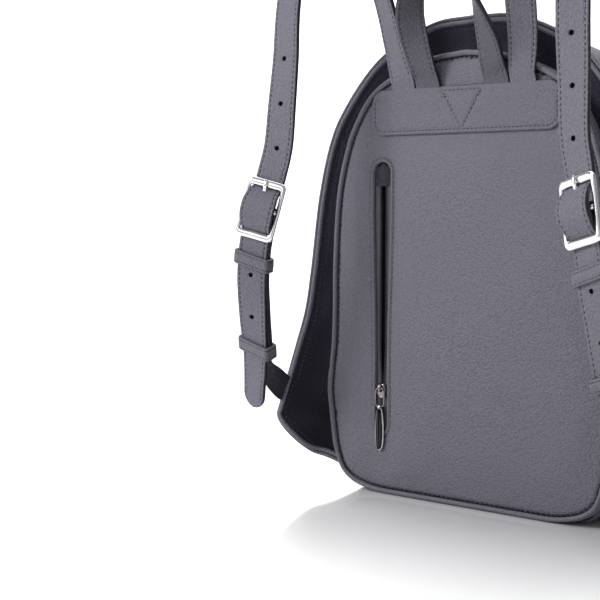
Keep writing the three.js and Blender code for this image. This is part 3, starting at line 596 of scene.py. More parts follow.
def thread_look(name, colour):
    """Twisted sewing thread."""
    look = Look(name)
    twist = look.wave(900.0, 2.0, "DIAGONAL")
    return look.shade({
        "Base Color": look.mix(twist, tint(colour, 0.6), tint(colour)),
        "Roughness": 0.6,
        "Normal": look.bump(twist, 0.5, 0.0001),
    })


LEATHER = leather_look("pebbled_leather", (0.104, 0.102, 0.131))
STRAP_LEATHER = leather_look("strap_leather", (0.118, 0.116, 0.147))
# Painted shade: a darker copy of the strap leather for the handle, whose legs turn away from the light.
SHADED_HANDLE_LEATHER = leather_look("handle_shaded_leather", (0.072, 0.070, 0.090))
# Painted shade: the valley's leather is near-black and darkens further towards the bottom, standing in for
# the shade deep between rim and panel.
SHADOW_LEATHER = leather_look("valley_shaded_leather", (0.024, 0.023, 0.038), 0.62, shine=0.15, foot=0.3)
GARAGE_LEATHER = leather_look("garage_leather", (0.030, 0.029, 0.040), roughness=0.62, shine=0.2)
# Painted shade: a near-black copy of the leather for the lower strap and its tab, which lie in shade.
SHADED_LOWER_LEATHER = leather_look("lower_strap_shaded_leather", (0.021, 0.020, 0.030), roughness=0.6)
EDGE_PAINT = leather_look("edge_paint", (0.012, 0.012, 0.017), roughness=0.5, grain=0.3)
THREAD = thread_look("sewing_thread", (0.020, 0.019, 0.028))
LINING = cloth_look("pocket_lining", (0.022, 0.022, 0.027), 700.0)
TAPE = cloth_look("zip_tape_weave", (0.066, 0.067, 0.088), 800.0)
SILVER = metal_look("polished_silver", (0.86, 0.86, 0.87), 0.13)
GUNMETAL = metal_look("gunmetal", (0.23, 0.21, 0.21), 0.22)
SILVER_DARK = metal_look("puller_metal", (0.42, 0.40, 0.40), 0.16)
ENAMEL = metal_look("dark_enamel", (0.035, 0.033, 0.036), 0.3)


# Outlines of rim, body and panel

def outline_points(loop, half_span, height, depth=lambda row: 0.0):
    return [
        np.array([row[f"{loop}_x"] * half_span, depth(row), row[f"{loop}_z"] * height])
        for row in OUTLINE_ROWS
    ]


RIM_POINTS = outline_points("rim", EAR_HALF_SPAN, BAG_HEIGHT, lambda row: row["rim_y"] * BAG_DEPTH)
BODY_POINTS = outline_points("body", EAR_HALF_SPAN, BAG_HEIGHT, lambda row: FLARE_DEPTH)
PANEL_POINTS = outline_points("panel", PANEL_HALF_WIDTH, PANEL_HEIGHT)
LOOP_SHARES = even_shares(RIM_POINTS, LOOP_HALF)


def full_loop(points):
    half = np.array([curve_point(points, s) for s in LOOP_SHARES])
    half[:, 2] = np.maximum(half[:, 2], 0)
    mirrored = half[1:-1][::-1] * np.array([-1, 1, 1])
    return np.vstack([half, mirrored])


RIM = full_loop(RIM_POINTS)
BODY = full_loop(BODY_POINTS)
PANEL = full_loop(PANEL_POINTS)
LOOP_SIZE = len(RIM)


def inward(loop):
    before, after = np.roll(loop, 1, axis=0), np.roll(loop, -1, axis=0)
    step = after - before
    return unit(points_from(step[:, 2], 0.0, -step[:, 0]))


RIM_INWARD = inward(RIM)
PANEL_INWARD = inward(PANEL)


def flare_ring(step):
    share = step + FLARE_CURVE * step * (1 - step)
    ring = RIM + (BODY - RIM) * share
    ring[:, 1] = RIM[:, 1] + (BODY[:, 1] - RIM[:, 1]) * step
    return ring


def ring_normals(ring, after, before):
    along = np.roll(ring, -1, axis=0) - np.roll(ring, 1, axis=0)
    return unit(np.cross(along, after - before))


RIM_NORMALS = ring_normals(RIM, flare_ring(FLARE_START), RIM)
RIM_DOWN = unit(flare_ring(FLARE_START) - RIM)


def beside_rim(inset, down):
    return RIM - RIM_NORMALS * inset + RIM_DOWN * down


def panel_ring(inset, depth):
    ring = PANEL + PANEL_INWARD * inset
    ring[:, 1] = depth
    return ring


# Shell

SHELL_PROFILE = [np.array([deep * BAG_DEPTH, size * FRONT_RADIUS]) for deep, size in FRONT_ROWS]


def shell_rings():
    flare = [flare_ring(step) for step in np.linspace(0.04, 1, 16)]
    centre = FRONT_CENTRE * BAG_HEIGHT
    front, sizes = [], []
    for share in even_shares(SHELL_PROFILE, 58)[1:]:
        deep, size = curve_point(SHELL_PROFILE, share)
        size /= FRONT_RADIUS
        ring = BODY * np.array([size, 0, size])
        ring[:, 1] = deep
        ring[:, 2] += centre * (1 - size)
        front.append(ring)
        sizes.append(size)
    tip = np.zeros_like(BODY)
    tip[:, 1:] = FRONT_ROWS[-1][0] * BAG_DEPTH, centre
    front.append(tip)
    sizes.append(0.0)
    return flare + front, np.array([1.0] * len(flare) + sizes)


def shell():
    rings, sizes = shell_rings()
    count = len(rings)
    normals = [
        ring_normals(rings[i], rings[min(i + 1, count - 1)], rings[max(i - 1, 0)]) for i in range(count)
    ]
    down = np.zeros((count, LOOP_SIZE))
    for i in range(1, count):
        down[i] = down[i - 1] + np.linalg.norm(rings[i] - rings[i - 1], axis=1)
    shaped = []
    for i, ring in enumerate(rings):
        soft = grain_noise(ring, 62.0) * 1.5 + grain_noise(ring, 24.0, 5.0) * 0.45
        fade = smoothstep(6, 34, down[i]) * smoothstep(1, 14, ring[:, 2])
        height = soft * fade
        if sizes[i] < 0.9999:
            past = (sizes[i] - FRONT_SEAM_SIZE) * FRONT_RADIUS
            height = height - 1.5 * ridge(past, 1.5) + 0.9 * ridge(past + 7, 5.0)
        moved = ring + normals[i] * height[:, None]
        moved[:, 2] = np.maximum(moved[:, 2], 0.0)
        shaped.append(moved)
    rim_rings = [beside_rim(inset, drop) for inset, drop in SHELL_EDGE]
    for ring in rim_rings:
        ring[:, 2] = np.maximum(ring[:, 2], 0.1)
    lining = [rings[i] - normals[i] * SHELL_WALL for i in range(count - 2, 2, -5)]
    whole = rim_rings + shaped + lining
    rings_piece("shell_leather", whole, LEATHER, "leather", ["front_shell"], endless=True)
    seam_at = int(np.argmin(np.abs(sizes - FRONT_SEAM_SIZE) + (sizes > 0.9999)))
    runs = []
    surface = np.array(shaped)
    for offset in (-FRONT_STITCH, FRONT_STITCH):
        line = [sampled(surface[:, j], down[:, j] - down[seam_at, j], offset) for j in range(LOOP_SIZE)]
        runs.append(stitch_run(np.array(line), normals[seam_at], closed=True))
    stitching("shell_front_stitches", runs)


# Valley between rim and panel

def gusset():
    start = beside_rim(7.0, 2.4)
    tuck = beside_rim(5.0, 1.4)
    end = panel_ring(GUSSET_SEAT, PANEL_THICKNESS + SEAM_GAP)
    lower = beside_rim(SHELL_WALL + 2 * SEAM_GAP, 3.6 * RIM_PIPING)
    low = end + (lower - end) * VALLEY_SHARE
    low[:, 1] = np.maximum(VALLEY_DEPTH, lower[:, 1] - 2.2)
    profile = [tuck]
    for t in np.linspace(0, 1, 30):
        profile.append(start * (1 - t) ** 2 + 2 * low * t * (1 - t) + end * t * t)
    along = unit(np.cross(RIM_INWARD, np.array([0.0, 1.0, 0.0])))
    shaped, backs = [], []
    run = np.zeros(LOOP_SIZE)
    stitch_line = np.zeros((LOOP_SIZE, 3))
    stitch_up = np.zeros((LOOP_SIZE, 3))
    found = np.zeros(LOOP_SIZE, bool)
    for i, ring in enumerate(profile):
        slope = profile[min(i + 1, len(profile) - 1)] - profile[max(i - 1, 0)]
        away = unit(np.cross(slope, along))
        towards_front = np.sign(away[:, 1:2])
        away = away * np.where(towards_front == 0, 1, towards_front)
        if i:
            run = run + np.linalg.norm(ring - profile[i - 1], axis=1)
        t = i / (len(profile) - 1)
        fade = smoothstep(0.08, 0.3, t) * smoothstep(1.0, 0.75, t)
        folds = grain_noise(ring, 38.0, 9.0) * 2.4 + grain_noise(ring, 15.0, 3.0) * 0.6
        groove = 0.7 * ridge(run - VALLEY_STITCH, 0.9)
        moved = ring + away * (folds * fade + groove)[:, None]
        moved[:, 2] = np.maximum(moved[:, 2], 0.3)
        passed = (run > VALLEY_STITCH) & ~found
        stitch_line[passed] = moved[passed]
        stitch_up[passed] = -away[passed]
        found |= passed
        shaped.append(moved)
        if i % 5 == 0:
            back = ring + away * 2.0
            back[:, 2] = np.maximum(back[:, 2], 0.5)
            backs.append(back)
    whole = shaped + backs[::-1]
    rings_piece("valley_shaded_leather", whole, SHADOW_LEATHER, "shadow_leather", ["rear_gusset"], endless=True)
    stitching("valley_stitches", [stitch_run(stitch_line, stitch_up, closed=True)])


def tube_rings(line, radius, sides=12, widths=1.0):
    """Rings of a round cord along a closed line, with its section square to the line."""
    tangent = unit(np.roll(line, -1, axis=0) - np.roll(line, 1, axis=0))
    outward = unit(np.cross(np.array([0.0, 1.0, 0.0]), tangent))
    depth = np.cross(tangent, outward)
    sizes = radius * widths * np.ones(len(line))
    cosines, sines = round_way(sides)
    return [
        centre + np.outer(cosines * size, out) + np.outer(sines * size, back)
        for centre, size, out, back in zip(line, sizes, outward, depth)
    ]


def rim_piping():
    line = beside_rim(SHELL_WALL + SEAM_GAP + RIM_PIPING, RIM_PIPING)
    line[:, 2] = np.maximum(line[:, 2], RIM_PIPING)
    wobble = 1 + 0.05 * grain_noise(line, 16.0, 2.0)
    cord = tube_rings(line, RIM_PIPING + 0.12, widths=wobble)
    rings_piece("rim_roll", cord, LEATHER, "leather", ["rim_piping"], endless=True)


# Flat leather shapes with relief, triangulated in the XZ plane

def inside(outline, points):
    """Which of the points lie inside a closed outline, both in XZ."""
    x, z = points[:, 0], points[:, 1]
    result = np.zeros(len(points), bool)
    for (x1, z1), (x2, z2) in zip(outline, np.roll(outline, -1, axis=0)):
        crosses = (z1 > z) != (z2 > z)
        with np.errstate(divide="ignore", invalid="ignore"):
            at = x1 + (z - z1) * (x2 - x1) / (z2 - z1)
        result ^= crosses & (x < at)
    return result


def distance_to(line, points, closed=True):
    """Least distance from each point to a polyline, both in XZ."""
    ends = np.roll(line, -1, axis=0) if closed else line[1:]
    starts = line if closed else line[:-1]
    best = np.full(len(points), 1e9)
    for a, b in zip(starts, ends):
        step = b - a
        square = max(float(step @ step), 1e-12)
        share = np.clip(((points - a) @ step) / square, 0, 1)
        gap = points - (a + share[:, None] * step)
        best = np.minimum(best, np.hypot(gap[:, 0], gap[:, 1]))
    return best


def in_shape(outline, holes, points):
    kept = inside(outline, points)
    for hole in holes:
        kept &= ~inside(hole, points)
    return kept


def thinned(points, kept, spacing):
    """The points that lie at least spacing from every kept one, by a coarse grid."""
    cells = {}
    for p in kept:
        cells.setdefault((int(p[0] // spacing), int(p[1] // spacing)), []).append(p)
    chosen = []
    for p in points:
        cx, cz = int(p[0] // spacing), int(p[1] // spacing)
        near = (q for dx in (-1, 0, 1) for dz in (-1, 0, 1) for q in cells.get((cx + dx, cz + dz), ()))
        if all((p[0] - q[0]) ** 2 + (p[1] - q[1]) ** 2 > (0.6 * spacing) ** 2 for q in near):
            chosen.append(p)
    return np.array(chosen).reshape(-1, 2)


def flat_mesh(outline, holes, lines, spacing):
    """Triangles of a flat shape with holes; lines are runs of points that it keeps."""
    edges = []
    start = 0
    for loop in [outline, *holes]:
        edges += [(start + i, start + (i + 1) % len(loop)) for i in range(len(loop))]
        start += len(loop)
    known = np.vstack([outline, *holes] + [line[in_shape(outline, holes, line)] for line in lines])
    low, high = outline.min(0), outline.max(0)
    xs = np.arange(low[0], high[0], spacing)
    zs = np.arange(low[1], high[1], spacing * 0.87)
    grid = np.array([[x + (k % 2) * spacing / 2, z] for k, z in enumerate(zs) for x in xs])
    grid = thinned(grid[in_shape(outline, holes, grid)], known, spacing)
    found = delaunay_2d_cdt([Vector(p) for p in np.vstack([known, grid])], edges, [], 1, 1e-4)
    places = np.array([list(v) for v in found[0]])
    faces = [tuple(f) for f in found[2]]
    middles = np.array([places[list(f)].mean(0) for f in faces])
    solid = in_shape(outline, holes, middles)
    return places, [face for face, kept in zip(faces, solid) if kept]


def loop_around(half_x, half_y, radius, steps=8, per_side=6):
    """Points round a rectangle with round corners, the same number for any size."""
    arcs = []
    for quarter, (x, y) in enumerate(((1, -1), (1, 1), (-1, 1), (-1, -1))):
        turn = np.radians(np.linspace(90 * quarter - 90, 90 * quarter, steps + 1))
        centre = np.array([x * (half_x - radius), y * (half_y - radius)])
        arcs.append(centre + radius * points_from(np.cos(turn), np.sin(turn)))
    shares = np.arange(1, per_side)[:, None] / per_side
    points = []
    for arc, following in zip(arcs, arcs[1:] + arcs[:1]):
        points += [arc, arc[-1] + (following[0] - arc[-1]) * shares]
    return np.vstack(points)


def rounded_rectangle(left, bottom, right, top, radius, corner_steps=8, edge_step=3.0):
    """Points round a rectangle with round corners, in XZ, at even steps along its sides."""
    middle = np.array([left + right, bottom + top]) / 2
    points = middle + loop_around((right - left) / 2, (top - bottom) / 2, radius, corner_steps, 1)
    dense = []
    for a, b in zip(points, np.roll(points, -1, axis=0)):
        count = max(int(np.linalg.norm(b - a) / edge_step), 1)
        dense += [a + (b - a) * k / count for k in range(count)]
    return np.array(dense)


def window_loop(out, step=2.5):
    """The window's outline, moved outwards; the closed end of the zip draws its sides together."""
    half = WINDOW_HALF_WIDTH + out
    loop = rounded_rectangle(
        POCKET_X - half, WINDOW_BOTTOM - out, POCKET_X + half, WINDOW_TOP + out, half - 0.01,
        corner_steps=10, edge_step=step,
    )
    drawn = WINDOW_DRAWN_IN * smoothstep(WINDOW_TOP - 30, SLIDER_Z + 30, loop[:, 1])
    loop[:, 0] = POCKET_X + (loop[:, 0] - POCKET_X) * (half - drawn) / half
    return loop


def patch_loop(inset, step=3.0):
    return rounded_rectangle(
        inset - PATCH_HALF_WIDTH, PATCH_TOP - PATCH_HEIGHT + inset, PATCH_HALF_WIDTH - inset,
        PATCH_TOP - inset, PATCH_CORNER - inset, edge_step=step,
    )


def raised_to(points, depths):
    return points_from(points[:, 0], depths, points[:, 1])


def sewn_on(line, depths, **kind):
    """A run of stitches on a surface that faces the wearer."""
    return stitch_run(raised_to(line, depths), np.tile([0.0, -1.0, 0.0], (len(line), 1)), **kind)


# Padded back panel

def panel_distances(points, outline):
    """How far points lie from the panel's edge, the window, the patch and the resting puller."""
    patch_edge = patch_loop(0)
    return (
        distance_to(outline, points),
        distance_to(window_loop(0), points),
        np.where(inside(patch_edge, points), 0, distance_to(patch_edge, points)),
        distance_to(PULLER_REST, points, closed=False),
    )


def panel_relief(points, outline):
    """Depth of the panel's face: puffed in the middle, drawn in at its seams."""
    edge, window, patch, rest = panel_distances(points, outline)
    flat = smoothstep(2, 24, window) * smoothstep(5, 24, rest)
    puff = 1.9 * (1 - np.exp(-(edge / 17) ** 1.6)) * smoothstep(0, 22, patch) * flat
    places = raised_to(points, 0.0)
    waves = grain_noise(places, 75.0, 4.0) * 0.9 + grain_noise(places, 26.0, 7.0) * 0.22
    waves = waves * smoothstep(4, 24, edge) * smoothstep(1, 16, patch)
    waves = waves * smoothstep(4, 18, window) * smoothstep(5, 20, rest)
    seams = 2.4 * np.exp(-edge / 0.9) + 0.55 * ridge(edge - PANEL_STITCH, 0.7)
    welt = smoothstep(WELT_WIDTH + 0.9, WELT_WIDTH - 0.1, window) * smoothstep(0, 0.9, window)
    cut = 2.6 * np.exp(-window / 0.42) + 0.6 * ridge(window - WELT_STITCH, 0.7)
    return seams + cut - puff - waves - 0.75 * welt


def panel():
    outline = panel_ring(FACE_INSET, 0)[:, [0, 2]]
    kept = [panel_ring(FACE_INSET + inset, 0)[::2, [0, 2]] for inset in (0.7, 1.4, 2.0, 2.7, 4.2, 6.5)]
    kept += [window_loop(out) for out in (0.35, 0.8, 1.5, 2.4, 3.0, 3.7, 4.4, 6.0)]
    kept.append(patch_loop(-1.0, 4.0))
    points, faces = flat_mesh(outline, [window_loop(0)], kept, 3.6)
    depth = panel_relief(points, outline) + pillow(points, faces, outline)
    face = mesh_piece("panel_face", raised_to(points, depth), faces, LEATHER, ["back_panel"])
    thicken(face, PANEL_WALL)
    bulge = 0.8 * grain_noise(panel_ring(0, 5.0), 45.0, 1.0)
    rings = []
    for inset, deep in PANEL_SIDE:
        swell = bulge * ridge(deep - 6.0, 2.5) * 0.5
        rings.append(panel_ring(inset, deep) - PANEL_INWARD * swell[:, None])
    rings += [panel_ring(inset, deep) for inset, deep in PANEL_INSIDE]
    rings_piece("panel_side", rings, LEATHER, "leather", endless=True)
    lines = [panel_ring(FACE_INSET + PANEL_STITCH, 0)[:, [0, 2]], window_loop(WELT_STITCH, 1.0)]
    stitching("panel_stitches", [sewn_on(line, panel_relief(line, outline), closed=True) for line in lines])


def thicken(made, wall):
    """Gives an open sheet a back face, wall millimetres behind it."""
    solid = made.modifiers.new("wall", "SOLIDIFY")
    solid.thickness = wall / 1000.0
    solid.offset = -1.0
    apply_modifiers(made)


def apply_modifiers(made):
    bpy.context.view_layer.update()
    graph = bpy.context.evaluated_depsgraph_get()
    baked = bpy.data.meshes.new_from_object(made.evaluated_get(graph))
    old = made.data
    made.modifiers.clear()
    made.data = baked
    bpy.data.meshes.remove(old)


def pillow(points, faces, outline):
    """How far stuffing pushes the panel's face out, from a cloth simulation of the face."""
    trial = new_mesh("pillow_trial", raised_to(points, 0.0), faces)
    edge, window, patch, rest = panel_distances(points, outline)
    held = (edge < 4.5) | (window < 6.5) | (patch < 1.5) | (rest < 9.0)
    group = trial.vertex_groups.new(name="sewn")
    group.add(np.flatnonzero(held).tolist(), 1.0, "REPLACE")
    settings = trial.modifiers.new("cloth", "CLOTH").settings
    settings.vertex_group_mass = group.name
    settings.use_pressure = True
    settings.effector_weights.gravity = 0
    for key, value in PILLOW_CLOTH.items():
        setattr(settings, key, value)
    scene = bpy.context.scene
    for step in range(1, PILLOW_FRAMES + 1):
        scene.frame_set(step)
    result = trial.evaluated_get(bpy.context.evaluated_depsgraph_get()).data
    moved = np.array([v.co[1] for v in result.vertices]) * 1000.0 + BASE_MIDDLE
    bpy.data.meshes.remove(trial.data)
    scene.frame_set(1)
    return -np.clip(np.abs(moved), 0, PILLOW_CAP)


def lip():
    line = panel_ring(LIP_RADIUS + LIP_EDGE, 0.0)
    fixed = smoothstep(NOTCH_Z + 2, NOTCH_Z - 2, line[:, 2])
    foot = smoothstep(40, 12, line[:, 2])
    widths = 0.92 + 0.12 * fixed - 0.2 * foot + 0.04 * grain_noise(line, 14.0, 6.0)
    widths -= 0.22 * ridge(line[:, 2] - NOTCH_Z - 2.5, 1.2)
    cord = tube_rings(line, LIP_RADIUS, sides=14, widths=widths)
    rings_piece("lip_roll", cord, LEATHER, "leather", ["panel_lip"], endless=True)


# Patch over the strap roots

def patch_stitch_line():
    """The stitched line along the ends and the bottom of the patch, open along its top."""
    loop = patch_loop(PATCH_HEM, 1.5)
    order = np.argsort(np.arctan2(loop[:, 0], loop[:, 1] - (PATCH_TOP - PATCH_HEIGHT / 2)))
    loop = loop[order]
    return loop[loop[:, 1] < PATCH_TOP - 7.0]


def triangle_sides(start, end, count):
    shares = np.linspace(start, end, count)[:, None]
    return [a + (b - a) * shares for a, b in zip(TRIANGLE, np.roll(TRIANGLE, -1, axis=0))]


def patch_relief(points):
    edge = distance_to(patch_loop(0), points)
    stitch = distance_to(patch_stitch_line(), points, closed=False)
    triangle = distance_to(TRIANGLE, points)
    roots = sum(
        smoothstep(ROOT_WIDTH / 2 + 3, ROOT_WIDTH / 2 - 3, np.abs(points[:, 0] - x))
        for x in (-STRAP_ROOT_X, -HANDLE_ROOT_X, HANDLE_ROOT_X, STRAP_ROOT_X)
    )
    roots = np.minimum(roots, 1) * smoothstep(PATCH_TOP - 20, PATCH_TOP - 10, points[:, 1])
    height = 2.5 + 0.7 * roots + 0.2 * grain_noise(raised_to(points, 0.0), 22.0, 8.0)
    height -= 1.0 * np.exp(-edge / 0.55)
    height -= 0.6 * ridge(stitch, 0.8) + 0.5 * ridge(triangle, 0.8)
    return -(height + 0.25 * inside(TRIANGLE, points))


def patch():
    kept = [patch_loop(inset, 1.6) for inset in (0.4, 0.9, 1.6, 2.3, 3.0, 3.7, 4.6)]
    drawn = np.vstack(triangle_sides(0, 1, 24))
    middle = TRIANGLE.mean(axis=0)
    kept += [middle + (drawn - middle) * size for size in (0.9, 0.95, 1.0, 1.05, 1.1)]
    points, faces = flat_mesh(patch_loop(0, 2.0), [], kept, 2.2)
    raised = raised_to(points, patch_relief(points))
    made = mesh_piece("patch_leather", raised, faces, LEATHER, ["yoke_patch"])
    thicken(made, PATCH_WALL)
    lines = [patch_stitch_line()] + triangle_sides(0.02, 0.98, 20)
    stitching("patch_stitches", [sewn_on(line, patch_relief(line), pitch=3.6) for line in lines], length=2.5)


# Straps

def row_point(row):
    return np.array([row["across"] * EAR_HALF_SPAN, row["deep"] * BAG_DEPTH, row["up"] * BAG_HEIGHT])


def frame_at(place, direction, turn, lift):
    """A place on a route with the directions of its run, its width and its face."""
    tangent = unit(direction)
    turned, lifted = math.radians(turn), math.radians(lift)
    width = np.array([
        math.cos(turned) * math.cos(lifted), math.sin(turned) * math.cos(lifted), math.sin(lifted),
    ])
    width = unit(width - tangent * np.dot(width, tangent))
    return {"place": place, "tangent": tangent, "width": width, "face": unit(np.cross(tangent, width))}


def frames_along(points, angles, count):
    frames = []
    for share in even_shares(points, count):
        angle = curve_point(angles, share)
        low, high = max(share - 1e-4, 0), min(share + 1e-4, 1)
        direction = curve_point(points, high) - curve_point(points, low)
        frames.append(frame_at(curve_point(points, share), direction, angle[0], angle[1]))
    return frames


def row_angles(row):
    return np.array([row["turn"], row["lift"], 0.0], float)


HANG_ROWS = SHOULDER_ROWS[-2:] + HANGING_ROWS
HANG_FRAMES = frames_along([row_point(r) for r in HANG_ROWS], [row_angles(r) for r in HANG_ROWS], HANG_COUNT)
HANG = {key: np.array([spot[key] for spot in HANG_FRAMES]) for key in HANG_FRAMES[0]}
HANG_LENGTHS = run_lengths(HANG["place"])
BUCKLE_ALONG = HANG_LENGTHS[-1] * BUCKLE_SHARE
STRAP_TAIL = -(HANG_LENGTHS[-1] - BUCKLE_ALONG)
BAR_ALONG = (BUCKLE_HEIGHT - BUCKLE_BAR) / 2
BAR_OUT = STRAP_THICKNESS / 2 + BUCKLE_GAP + BUCKLE_THICKNESS / 2
BULGE_REACH = BAR_ALONG - BUCKLE_BAR / 2 - BUCKLE_GAP
LOOP_REACH = CENTRE_BAR + LAYER_GAP + LOWER_THICKNESS / 2
BULGE = BAR_OUT + LOOP_REACH + LAYER_GAP + (LOWER_THICKNESS + STRAP_THICKNESS) / 2
LAYER_STEP = (STRAP_THICKNESS + LOWER_THICKNESS) / 2 + LAYER_GAP


def hang_frame(along, out=0.0):
    """The hanging strap's frame, moved out of its centre line; the buckle's middle is at 0."""
    target = min(max(BUCKLE_ALONG - along, 0), HANG_LENGTHS[-1])
    spot = {key: sampled(values, HANG_LENGTHS, target) for key, values in HANG.items()}
    for key in ("tangent", "width", "face"):
        spot[key] = unit(spot[key])
    spot["place"] = spot["place"] + spot["face"] * out
    return spot


def upper_out(along):
    share = min(abs(along) / BULGE_REACH, 1)
    return BULGE * (1 - share ** 2) ** BULGE_ROUNDNESS


def hanging_width(along):
    """The strap spreads a little where it bulges over its buckle, and narrows towards its end."""
    share = min(abs(along) / BULGE_REACH, 1)
    spread = BULGE_SPREAD * float(smoothstep(1.0, 0.25, share))
    return STRAP_WIDTH + spread - TAIL_NARROWING * float(smoothstep(TAIL_START, STRAP_TAIL, along))


def root_frames(x):
    """A strap's thin root under the patch, and where it comes out above the patch."""
    outs = (-0.9, -1.5, -2.9, -LIP_RADIUS - SEAM_GAP - STRAP_THICKNESS / 2)
    frames = [
        frame_at(np.array([x, out, PATCH_TOP + rise]), UP, 0, 0)
        for rise, out in zip((-9.0, -2.0, 3.0, 2 * STRAP_THICKNESS), outs)
    ]
    return frames, [ROOT_THICKNESS, 1.7, 2.7, STRAP_THICKNESS]


def strap_section(wide, thick):
    """Half-round edges and a sunk line for the stitches on both faces."""
    half = wide / 2
    across = half * np.array([-s for s in SECTION_SHARES[::-1]] + list(SECTION_SHARES[1:]))
    edge = np.clip((np.abs(across) - (half - EDGE_ROUND)) / EDGE_ROUND, 0, 1)
    groove = ridge(np.abs(across) - (half - STRAP_STITCH_INSET), 0.6)
    out = thick / 2 * (0.28 + 0.72 * np.sqrt(np.maximum(1 - edge ** 2, 0)))
    out = out - 0.32 * min(thick / STRAP_THICKNESS, 1) * groove
    return np.vstack([points_from(across, out), points_from(across, -out)[::-1]])


def leather_strap(node, frames, wides, thicks, side, look, sewn, holes=()):
    """A strap through frames, with painted edges, punched holes and stitches by each edge."""
    centres, widths, guide = (np.array([f[key] for f in frames]) for key in ("place", "width", "face"))
    faces = unit(np.cross(unit(np.gradient(centres, axis=0)), widths))
    faces = faces * np.where(np.sum(faces * guide, axis=1) < 0, -1, 1)[:, None]
    centres, widths, faces = (values * np.array([side, 1, 1]) for values in (centres, widths, faces))
    rings = []
    for centre, width, face, wide, thick in zip(centres, widths, faces, wides, thicks):
        section = strap_section(wide, thick)
        rings.append(centre + section[:, :1] * width + section[:, 1:] * face)
    made = rings_piece(f"{node}_leather", rings, look, "leather", [node], ends=True)
    paint_edges(made, centres, widths, wides)
    for spot in holes:
        punch(made, spot, side)
    inset = (np.array(wides) / 2 - STRAP_STITCH_INSET)[:, None]
    lift = (np.array(thicks) / 2 - 0.3)[:, None]
    runs = []
    for across in (-1, 1):
        for out in (-1, 1):
            line = centres + widths * across * inset + faces * out * lift
            runs.append(stitch_run(line[sewn], (faces * out)[sewn]))
    stitching(f"{node}_stitches", runs)


def paint_edges(made, centres, widths, wides):
    """Gives the cut edges of a strap their dark edge paint."""
    made.data.materials.append(EDGE_PAINT)
    places = place_in_row(centres)
    for polygon in made.data.polygons:
        middle = np.array(polygon.center)
        nearest = int(np.argmin(np.sum((places - middle) ** 2, axis=1)))
        across = abs(float((middle - places[nearest]) @ widths[nearest])) * 1000.0
        if across > wides[nearest] / 2 - EDGE_PAINT_WIDTH:
            polygon.material_index = 1


def shoulder_path():
    """Frames, widths and thicknesses from the root over the shoulder to the strap's round end."""
    frames, thicks = root_frames(STRAP_ROOT_X)
    rise = frames_along(
        [frames[-1]["place"]] + [row_point(r) for r in SHOULDER_ROWS],
        [np.zeros(3)] + [row_angles(r) for r in SHOULDER_ROWS],
        190,
    )
    between = np.linalg.norm(row_point(SHOULDER_ROWS[-1]) - row_point(SHOULDER_ROWS[-2]))
    hanging = np.arange(BUCKLE_ALONG - between - 1.6, STRAP_TAIL + TIP_LENGTH, -1.6)
    frames = frames[:-1] + rise + [hang_frame(along, upper_out(along)) for along in hanging]
    wides = [ROOT_WIDTH] * (len(thicks) - 1) + list(np.linspace(ROOT_WIDTH, STRAP_WIDTH, len(rise)))
    wides += [hanging_width(along) for along in hanging]
    thicks = thicks[:-1] + [STRAP_THICKNESS] * (len(rise) + len(hanging))
    for share in np.linspace(0, 1, 12)[1:]:
        along = STRAP_TAIL + TIP_LENGTH * (1 - share)
        frames.append(hang_frame(along))
        wides.append(hanging_width(along) * max(math.sqrt(1 - share ** 2), 0.12))
        thicks.append(STRAP_THICKNESS * (1 - 0.35 * share ** 4))
    return frames, wides, thicks


def hole_places():
    places = []
    for step in (-3, -2, 1, 2, 3):
        along = TONGUE_HOLE + step * HOLE_PITCH + (BULGE_SLACK if step < 0 else 0)
        if STRAP_TAIL + STRAP_WIDTH < along < BUCKLE_ALONG:
            places.append(hang_frame(along))
    return places


def punch(made, spot, side):
    """Cuts a punched hole into a strap, down to its lining."""
    across, up = (HOLE_RADIUS * way for way in round_way(20))
    ends = (STRAP_THICKNESS / 2 - HOLE_DEPTH, STRAP_THICKNESS)
    rings = [set_on(spot, points_from(across, -up, out), side) for out in ends]
    tool = new_mesh("punch", np.concatenate(rings), grid_faces(2, len(up), ends=True))
    # The hole's walls and floor take the dark edge paint: edge paint on the walls, and painted shade on the
    # floor, for the dark inside the hole.
    tool.data.materials.append(EDGE_PAINT)
    face_outwards(tool)
    cut = made.modifiers.new("hole", "BOOLEAN")
    cut.operation = "DIFFERENCE"
    cut.solver = "EXACT"
    cut.material_mode = "TRANSFER"
    cut.object = tool
    apply_modifiers(made)
    bpy.data.meshes.remove(tool.data)


def shoulder_strap(name, side):
    path = shoulder_path()
    sewn = slice(4, len(path[0]) - 8)
    leather_strap(f"shoulder_strap_{name}", *path, side, STRAP_LEATHER, sewn, hole_places())


# Lower strap, doubled over the buckle's centre bar

def lower_out(along):
    return upper_out(along) - LAYER_STEP


def back_out(along):
    share = min(max(-along / BAR_ALONG, 0), 1)
    low = -LAYER_STEP - LOWER_THICKNESS - LAYER_GAP
    high = BAR_OUT - LOOP_REACH
    return high + (low - high) * share


def lower_path():
    """Frames from the ear, up behind the strap, round the centre bar and back down."""
    join = FOLD_END + JOIN_BELOW
    top = join + JOIN_LENGTH
    meet = hang_frame(join, lower_out(join) - JOIN_SLACK)
    above = hang_frame(top, lower_out(top) - JOIN_SLACK / 2)
    rising = frames_along(
        [row_point(r) for r in TAB_ROWS[::-1]] + [meet["place"], above["place"]],
        [row_angles(r) for r in TAB_ROWS[::-1]] + [np.zeros(3), np.zeros(3)],
        TAB_STEPS,
    )
    rising = [dict(f, face=-f["face"]) if np.dot(f["face"], meet["face"]) < 0 else f for f in rising]
    front = [hang_frame(along, lower_out(along)) for along in np.arange(top + 2, -3, 2.0)]
    bar = hang_frame(0, BAR_OUT)
    turn = []
    for angle in np.linspace(0, math.pi, 14):
        outward = bar["face"] * math.cos(angle) - bar["tangent"] * math.sin(angle)
        turn.append(dict(bar, place=bar["place"] + outward * LOOP_REACH, face=outward))
    behind = [hang_frame(along, back_out(along)) for along in np.arange(-4.0, FOLD_END, -2.0)]
    return rising + front + turn + [dict(spot, face=-spot["face"]) for spot in behind]


